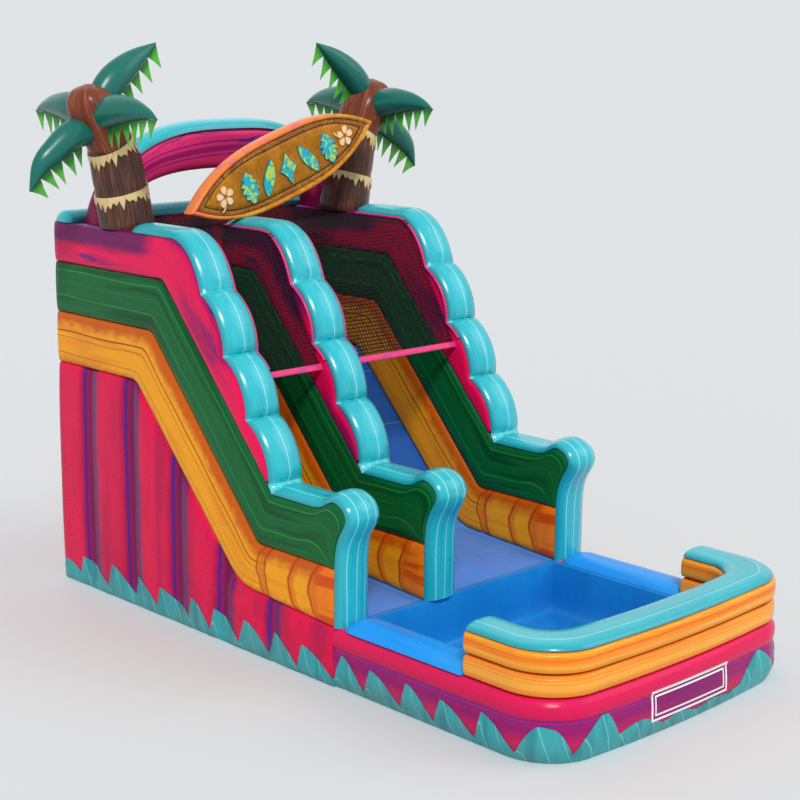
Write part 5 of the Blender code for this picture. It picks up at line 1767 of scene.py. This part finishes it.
def slopeNetLine():
    # the line of the slope nets, and the two edges of their hem
    slope = (capEdge["slopeFoot"] - capEdge["slopeTop"]) / (wallTop - armTop)
    knee = Vector((capEdge["slopeTop"], nets["height"]))
    foot = Vector((knee.x + slope * (wallTop - nets["foot"]), nets["foot"]))
    hemTop = foot.lerp(knee, nets["hem"] / (foot - knee).length)
    line = roundedLine([(deckDepth + hair, nets["height"]), knee, hemTop], [nets["kneeRadius"]])
    return line, hemTop, foot


def makeNets():
    back, front = tower["rear"] + 2 * hair, deckDepth - hair
    line = resample([Vector((back, nets["height"])), Vector((front, nets["height"]))], 0.1)
    span = inset((tower["leftInner"], innerSide), 0.002)
    piece, flat, area = makeNet("roofNet", span, line, "roof_net", nets["roofStrand"])
    line, hemTop, foot = slopeNetLine()
    for lane, span in (("climb", climbLane), ("slide", slideLane)):
        path = resample(line, 0.05)
        piece, flat, area = makeNet(lane + "Net", inset(span, 0.002), path, lane + "_net", nets["strand"])
        hem = puffedHem(lane + "Hem", hemTop + (hemTop - foot) * 0.15, foot, inset(span, 0.001), nets["hemThick"])
        keep(hem)


def makePiping(name, x, startDepth):
    # a welded cord of pink vinyl between a net and a cap
    path, creases, foot = edgePath(0.0)
    stop = slopeNetLine()[2].x + 0.04
    line = resample([Vector((startDepth, wallTop))] + [p for p in path[1:foot] if p.x < stop], 0.03)
    line = offsetLine(line, -nets["pipe"] * 0.4)
    rings = []
    for i, point in enumerate(line):
        normal = normalTo(line[min(i + 1, len(line) - 1)] - line[max(i - 1, 0)]) * nets["pipe"]
        rings.append([at(x + nets["pipe"] * c, *(point + normal * s)) for c, s in circle(10)])
    keep(skin(name, rings, steps(10), lengthsOf(line), "trim"))


print("nets")
makeNets()
pipe = nets["pipe"] * 0.7
makePiping("leftPiping", tower["leftInner"] + pipe, deckDepth)
makePiping("middlePipingLeft", tower["middleLeft"] - pipe, capEdge["middleStart"])
makePiping("middlePipingRight", tower["middleRight"] + pipe, capEdge["middleStart"])
makePiping("rightPiping", innerSide - pipe, deckDepth)

# Skirt round the ground line and the panel on the pool's front

skirt = dict(
    proud=0.007, inside=0.0015, foot=0.002, rows=7, spacing=0.03, steep=0.11, bulge=1.6,
    points=[(0.0, 0.14), (0.06, 0.22), (0.31, 0.12), (0.35, 0.3), (0.77, 0.09), (0.85, 0.33), (1.19, 0.1),
        (1.25, 0.3), (1.57, 0.08), (1.63, 0.29), (2.05, 0.1), (2.12, 0.31), (2.38, 0.06), (2.45, 0.29),
        (2.8, 0.06), (2.89, 0.3), (3.22, 0.07), (3.28, 0.28), (3.6, 0.05), (3.67, 0.28), (4.07, 0.07),
        (4.16, 0.31), (4.43, 0.05), (4.51, 0.28), (4.86, 0.06), (4.93, 0.29), (5.24, 0.05), (5.32, 0.27),
        (5.69, 0.05), (5.76, 0.3), (6.1, 0.06), (6.29, 0.31), (6.41, 0.29), (6.56, 0.08), (6.88, 0.35),
        (7.02, 0.14), (7.28, 0.19), (7.55, 0.09), (7.75, 0.13), (8.00, 0.08), (8.2, 0.12), (8.45, 0.09),
        (8.6, 0.13), (8.9, 0.35)],
)
outlineLengths = lengthsOf(poolRun(0.0, pool["startDepth"]))
girth = outlineLengths[-1] + 2 * wallEnd


def skirtHeight(distance):
    # steep behind each crest, rounded in front of it
    points = skirt["points"]
    last, crest = points[-1]
    if distance > last:
        return skirtHeight(girth - distance) if girth - distance < last else crest
    for (a, za), (b, zb) in zip(points, points[1:]):
        if distance <= b:
            t = (distance - a) / (b - a)
            if b - a >= skirt["steep"]:
                t = 1 - (1 - t) ** skirt["bulge"] if zb > za else t ** skirt["bulge"]
            return za + (zb - za) * t


def flankFace(depth, height):
    # how far a flank's outer face stands out
    tall = heightOn(bedLine(0.0), depth) - hair
    spot = Vector((depth, height))
    sunk = drawnIn(min(height, tall - height, depth + pressure["roll"] * 0.2))
    fold = flankFold(spot) * pressure["tuck"] * pressure["fold"]
    return tubes["crown"] * crowned(height / tall) - sunk - fold - flankDent(spot)


def skirtFace(distance, height, grow):
    # a point on the outer face at a distance round the slide
    depth = min(distance, girth - distance)
    if depth <= wallEnd:
        toward = -1 if distance < girth / 2 else 1
        return at(toward * (outerSide + flankFace(depth, height) + grow), depth, height)
    inward = poolFace(height) - grow - 0.006 * smoothStep(0.1, 0.02, depth - wallEnd)
    spot = pointAt(poolRun(inward, pool["startDepth"]), outlineLengths, distance - wallEnd)
    return at(*spot, height)


def skirtRing(distance, heights, outside, inside):
    outer = [skirtFace(distance, height, outside) for height in heights]
    return outer + [skirtFace(distance, height, inside) for height in reversed(heights)]


def makeSkirt():
    corner = wallEnd
    crests = [distance for distance, height in skirt["points"]]
    marks = {*crests, *(girth - each for each in crests), girth}
    marks |= {corner, corner + 0.0002, girth - corner - 0.0002, girth - corner}
    marks |= {round(i * skirt["spacing"], 4) for i in range(ceil(girth / skirt["spacing"]))}
    kept = []
    for mark in sorted(marks):
        atCorner = abs(min(mark, girth - mark) - corner) < 0.001
        if not kept or mark - kept[-1] > 0.008 or mark in crests or atCorner:
            kept.append(mark)
    foot = skirt["foot"]
    rings = []
    for distance in kept:
        top = max(0.03, skirtHeight(distance))
        heights = spread(foot, top, skirt["rows"])
        rings.append(skirtRing(distance, heights, skirt["proud"], skirt["inside"]))
    across = andBack(spread(0.0, 0.3, skirt["rows"]))
    keep(skin("skirt", rings, across, kept, "skirt", sharp=40.0))


def makeRearSkirt():
    # low waves along the ground at the back
    half, side = outerSide - 0.02, innerSide

    def face(x, z, grow):
        if abs(x) < side:
            return at(x, drawnIn(max(0.0, min(z, side - abs(x)))) - grow - 0.004, z)
        return at(x, -grow, z)

    places = spread(-half, half, 120)
    rings = []
    for x in places:
        top = 0.055 + 0.05 * abs(sin(pi * x * 3.1 + 0.6 * sin(x * 4.0))) ** 0.8
        heights = spread(skirt["foot"], top, 5)
        rings.append([face(x, z, 0.006) for z in heights] + [face(x, z, 0.001) for z in reversed(heights)])
    across = andBack(spread(0.0, 0.1, 5))
    piece = skin("rearSkirt", rings, across, [x + half for x in places], "skirt", sharp=40.0)
    keep(piece)


panel = dict(first=7.395, last=8.385, low=0.135, high=0.385, frame=0.018, inner=0.042, thin=0.014, proud=0.009)


def panelStripe(body, first, last, low, high, index, lift):
    count, rows = max(1, round((last - first) / 0.05)), max(3, round((high - low) / 0.012))
    heights = spread(low, high, rows)
    rings = [skirtRing(distance, heights, lift, 0.0005) for distance in spread(first, last, count)]
    addSkin(body, rings, andBack(steps(rows)), spread(0.0, last - first, count), index=index)


def panelFrame(body, gap, wide):
    p = panel
    first, last, low, high = p["first"] + gap, p["last"] - gap, p["low"] + gap, p["high"] - gap
    for sides in ((first, last, high - wide, high), (first, last, low, low + wide),
            (first, first + wide, low + wide, high - wide), (last - wide, last, low + wide, high - wide)):
        panelStripe(body, *sides, 0, p["proud"])


def makePanel():
    # two white frames, one in the other, on a darker field
    body = bmesh.new()
    panelFrame(body, 0.0, panel["frame"])
    panelFrame(body, panel["inner"], panel["thin"])
    panelStripe(body, *inset((panel["first"], panel["last"]), 0.002), *inset((panel["low"], panel["high"]), 0.002),
            1, 0.0065)
    keep(finishMesh("frontPanel", body, "white panel", 40.0))


print("skirt")
makeSkirt()
makePanel()
makeRearSkirt()

# Fittings on the back and the right side


def makeSleeve():
    # a gathered tube of cloth, open at both ends
    s = sleeve
    sides = 60
    profiles = []
    for t in steps(26):
        y = s["length"] * t
        hem = 0.0015 if y > s["length"] - s["hem"] else 0.0
        radii = []
        for c, sine in circle(sides):
            wave = noise.noise(Vector((c * 1.6, sine * 1.6, y * 22))) * 0.01
            wave += 0.004 * sin(y * 60 + 2.0 * c) * sin(pi * t)
            wave *= sin(pi * min(1.0, t * 1.05)) ** 0.5
            radii.append(s["radius"] - 0.002 + min(0.0, wave) + hem)
        profiles.append((y, radii))
    rings = []
    for film, side in ((0.0, profiles), (s["film"], profiles[::-1])):
        for y, radii in side:
            rings.append([at(s["x"] + (radius - film) * c, -hair - y, s["height"] + (radius - film) * sine)
                    for radius, (c, sine) in zip(radii, circle(sides))])
    along = [y for y, radii in profiles]
    along += [2 * s["length"] - y for y in reversed(along)]
    body = bmesh.new()
    addSkin(body, rings + rings[:1], steps(sides), along + [along[-1] + 0.01], caps=False)
    weld(body, 1e-6)
    piece = finishMesh("airSleeve", body, "sleeve")
    keep(piece, "air_sleeve")


def makeZip():
    z = zipPlace
    left = z["x"] - z["length"] / 2
    along = spread(0.0, z["length"], 28)
    rings = []
    for distance in along:
        x = left + distance
        ring = [at(x, -hair - 0.0022 - 0.0005 * sin(x * 90 + t * 3), z["height"] + (t - 0.5) * z["tape"])
                for t in steps(8)]
        rings.append(ring + [at(x, -hair, z["height"] + side * z["tape"]) for side in (0.5, -0.5)])
    piece = skin("zipTape", rings, steps(8) + [1.0, 0.0], along, "tape")
    keep(piece, "zip_tape")
    body = bmesh.new()
    for i in range(int(z["length"] / z["pitch"])):
        x = left + z["pitch"] * (i + 0.5)
        for toward in (-1, 1):
            tooth = bmesh.ops.create_cube(body, size=1.0)["verts"]
            place = at(x + 0.0015 * toward, -hair - 0.0034, z["height"] + toward * 0.0018)
            bmesh.ops.scale(body, vec=z["tooth"], verts=tooth)
            bmesh.ops.translate(body, vec=place, verts=tooth)
    bmesh.ops.bevel(body, geom=body.edges[:], offset=0.0004, segments=1, affect="EDGES")
    teeth = finishMesh("zipTeeth", body, "tape")
    keep(teeth)


def makeFlap():
    # a rolled hem with a hanging sheet, down the front and up behind
    z = zipPlace
    hinge = at(z["x"], -hair - z["hem"], z["height"] + z["tape"] / 2 + z["overlap"])
    half = z["length"] / 2 + z["overlap"]
    angles = spread(radians(200), radians(-20), 10)
    roll = [(0.0114 * cos(angle), 0.0114 * sin(angle)) for angle in angles]
    places = spread(-half, half, 40)
    rings = []
    for x in places:
        wave = 0.0012 * sin(x * 19) + 0.0008 * sin(x * 47)
        front = [(0.011 + wave * share - 0.001, -0.006 - (z["drop"] - 0.012) * share) for share in steps(12)]
        back = [(depth - 0.0025, height) for depth, height in reversed(front)]
        rings.append([hinge + Vector((x, depth, height)) for depth, height in roll + front + back])
    size = len(rings[0])
    flap = skin("zipFlap", rings, steps(size), [x + half for x in places], "flap", sharp=40.0)
    keep(flap, "zip_flap", body="zip_flap")


tab = dict(
    width=0.06, loop=0.044, height=0.1, thick=0.006, bore=0.0048, z=0.2, weld=0.018,
    stitchBox=(-0.022, 0.022, 0.034, 0.088), stitchPitch=0.005, stitch=(0.0034, 0.0011, 0.0009),
)


def makeTab(name, place, outward, node):
    # webbing folded round the ring's bar and welded to the wall
    outward = Vector(outward)
    up = Vector((0, 0, 1))
    lay = Matrix.Translation(place) @ Matrix((outward.cross(up), outward, up)).transposed().to_4x4()
    hang = hair + tab["thick"]
    radius, thick = (tab["bore"] + tab["thick"]) / 2, tab["thick"] - tab["bore"]
    line = [(hair + thick / 2 + 0.0002, tab["height"] * (1 - t) + 0.004 * t) for t in steps(9)]
    for t in steps(20)[1:-1]:
        angle = pi + pi * t
        line.append((hang + radius * cos(angle), radius * sin(angle)))
    line += [(hang + radius - (radius - 0.0006) * smoothStep(0.0, 0.6, t), tab["weld"] * t) for t in steps(7)[1:]]
    line += [(hang - 0.0008, tab["weld"] + (tab["height"] - tab["weld"]) * t) for t in steps(8)[1:]]
    line = [Vector(point) for point in line]
    sides = (-1, -0.5, 0, 0.5, 1)
    rings = []
    for outer, inner, point in zip(offsetLine(line, thick / 2), offsetLine(line, -thick / 2), line):
        wide = tab["loop"] / 2 + (tab["width"] - tab["loop"]) / 2 * smoothStep(0.012, 0.03, point.y)
        ring = [(wide * side, *outer) for side in sides] + [(wide * side, *inner) for side in reversed(sides)]
        rings.append([lay @ Vector(each) for each in ring])
    piece = skin(name, rings, andBack(steps(4)), lengthsOf(line), "webbing", sharp=60.0)
    keep(piece, node)
    stitches = makeStitches(name + "Stitches", lay, hang + 0.0001)


def makeStitches(name, lay, lift):
    # a box with a cross
    body = bmesh.new()
    left, right, low, high = tab["stitchBox"]
    corners = [Vector(each) for each in ((left, low), (right, low), (right, high), (left, high))]
    runs = [*zip(corners, corners[1:] + corners[:1]), (corners[0], corners[2]), (corners[3], corners[1])]
    for a, b in runs:
        count = max(2, round((b - a).length / tab["stitchPitch"]))
        turn = atan2((b - a).y, (b - a).x)
        for i in range(count):
            spot = a.lerp(b, (i + 0.5) / count)
            verts = bmesh.ops.create_icosphere(body, subdivisions=1, radius=0.5)["verts"]
            bmesh.ops.scale(body, vec=tab["stitch"], verts=verts)
            bmesh.ops.rotate(body, cent=(0, 0, 0), matrix=Matrix.Rotation(-turn, 3, "Y"), verts=verts)
            bmesh.ops.translate(body, vec=(spot.x, lift, spot.y), verts=verts)
    bmesh.ops.transform(body, matrix=lay, verts=body.verts)
    return keep(finishMesh(name, body, "thread"))


print("fittings")
makeSleeve()
makeZip()
makeFlap()
makeTab("rearLeftTab", at(-1.39, 0.0, tab["z"]), (0, 1, 0), "tab_rear_left")
makeTab("rearRightTab", at(1.39, 0.0, tab["z"]), (0, 1, 0), "tab_rear_right")
makeTab("rightSideTab", at(outerSide, 3.2, tab["z"]), (1, 0, 0), "tab_right_side")
for node in ("zip_slider", "ring_rear_left", "ring_rear_right", "ring_right_side"):
    for slotted in bpy.data.objects[node].material_slots:
        slotted.material = finish["steel"]

# Camera, floor and light

view = dict(spot=(-10.6819, -11.1198, 5.4314), lens=77.052, down=12.198, turn=44.083, roll=0.4927)


def makeCamera():
    down, turn, roll = (radians(view[key]) for key in ("down", "turn", "roll"))
    data = bpy.data.cameras.new("camera")
    data.lens = view["lens"]
    data.sensor_width = 36.0
    data.clip_end = 500.0
    camera = intoScene("camera", data)
    camera.matrix_world = (Matrix.Translation(view["spot"]) @ Matrix.Rotation(-turn, 4, "Z")
            @ Matrix.Rotation(pi / 2 - down, 4, "X") @ Matrix.Rotation(roll, 4, "Z"))
    bpy.context.scene.camera = camera


# each lamp: place, strength, softness in degrees, tint
light = dict(
    floor="DDE1E4", floorSize=160.0, back=(0.747, 0.778, 0.798), around=0.44,
    lamps={"key": ((-7.0, -8.5, 11.0), 1.95, 12.0, (1.0, 0.985, 0.96)),
        "fill": ((9.0, -8.0, 9.0), 0.55, 40.0, (0.95, 0.97, 1.0)),
        "back": ((4.0, 11.0, 8.0), 0.3, 60.0, (1.0, 1.0, 1.0))},
)


def makeStage():
    body = bmesh.new()
    bmesh.ops.create_grid(body, x_segments=2, y_segments=2, size=light["floorSize"])
    bmesh.ops.translate(body, vec=(0.0, 0.0, -0.002), verts=body.verts)
    p = Print("paleFloor")
    p.set("Roughness", 0.95)
    p.set("Specular IOR Level", 0.0)
    p.set("Base Color", colour(light["floor"]))
    finish["floor"] = p.material
    finishMesh("floor", body, "floor")


def makeLight():
    world = bpy.data.worlds.new("studio")
    bpy.context.scene.world = world
    world.use_nodes = True
    back = world.node_tree.nodes["Background"]
    path = world.node_tree.nodes.new("ShaderNodeLightPath")
    seen = path.outputs["Is Camera Ray"]
    for ray in ("Is Glossy Ray", "Is Transmission Ray"):
        seen = maths("MAXIMUM", seen, path.outputs[ray])
    feed(back.inputs["Strength"], maths("MULTIPLY_ADD", seen, 1.0 - light["around"], light["around"]))
    feed(back.inputs["Color"], mixed(seen, (1.0, 1.0, 1.0, 1.0), light["back"] + (1.0,)))
    for name, (spot, strength, soft, tint) in light["lamps"].items():
        data = bpy.data.lights.new(name, "SUN")
        data.energy = strength
        data.angle = radians(soft)
        data.color = tint
        lamp = intoScene(name, data)
        lamp.location = spot
        lamp.rotation_euler = (-Vector(spot)).to_track_quat("-Z", "Y").to_euler()


print("camera and light")
makeCamera()
makeStage()
makeLight()
bpy.context.scene.view_settings.view_transform = "Standard"
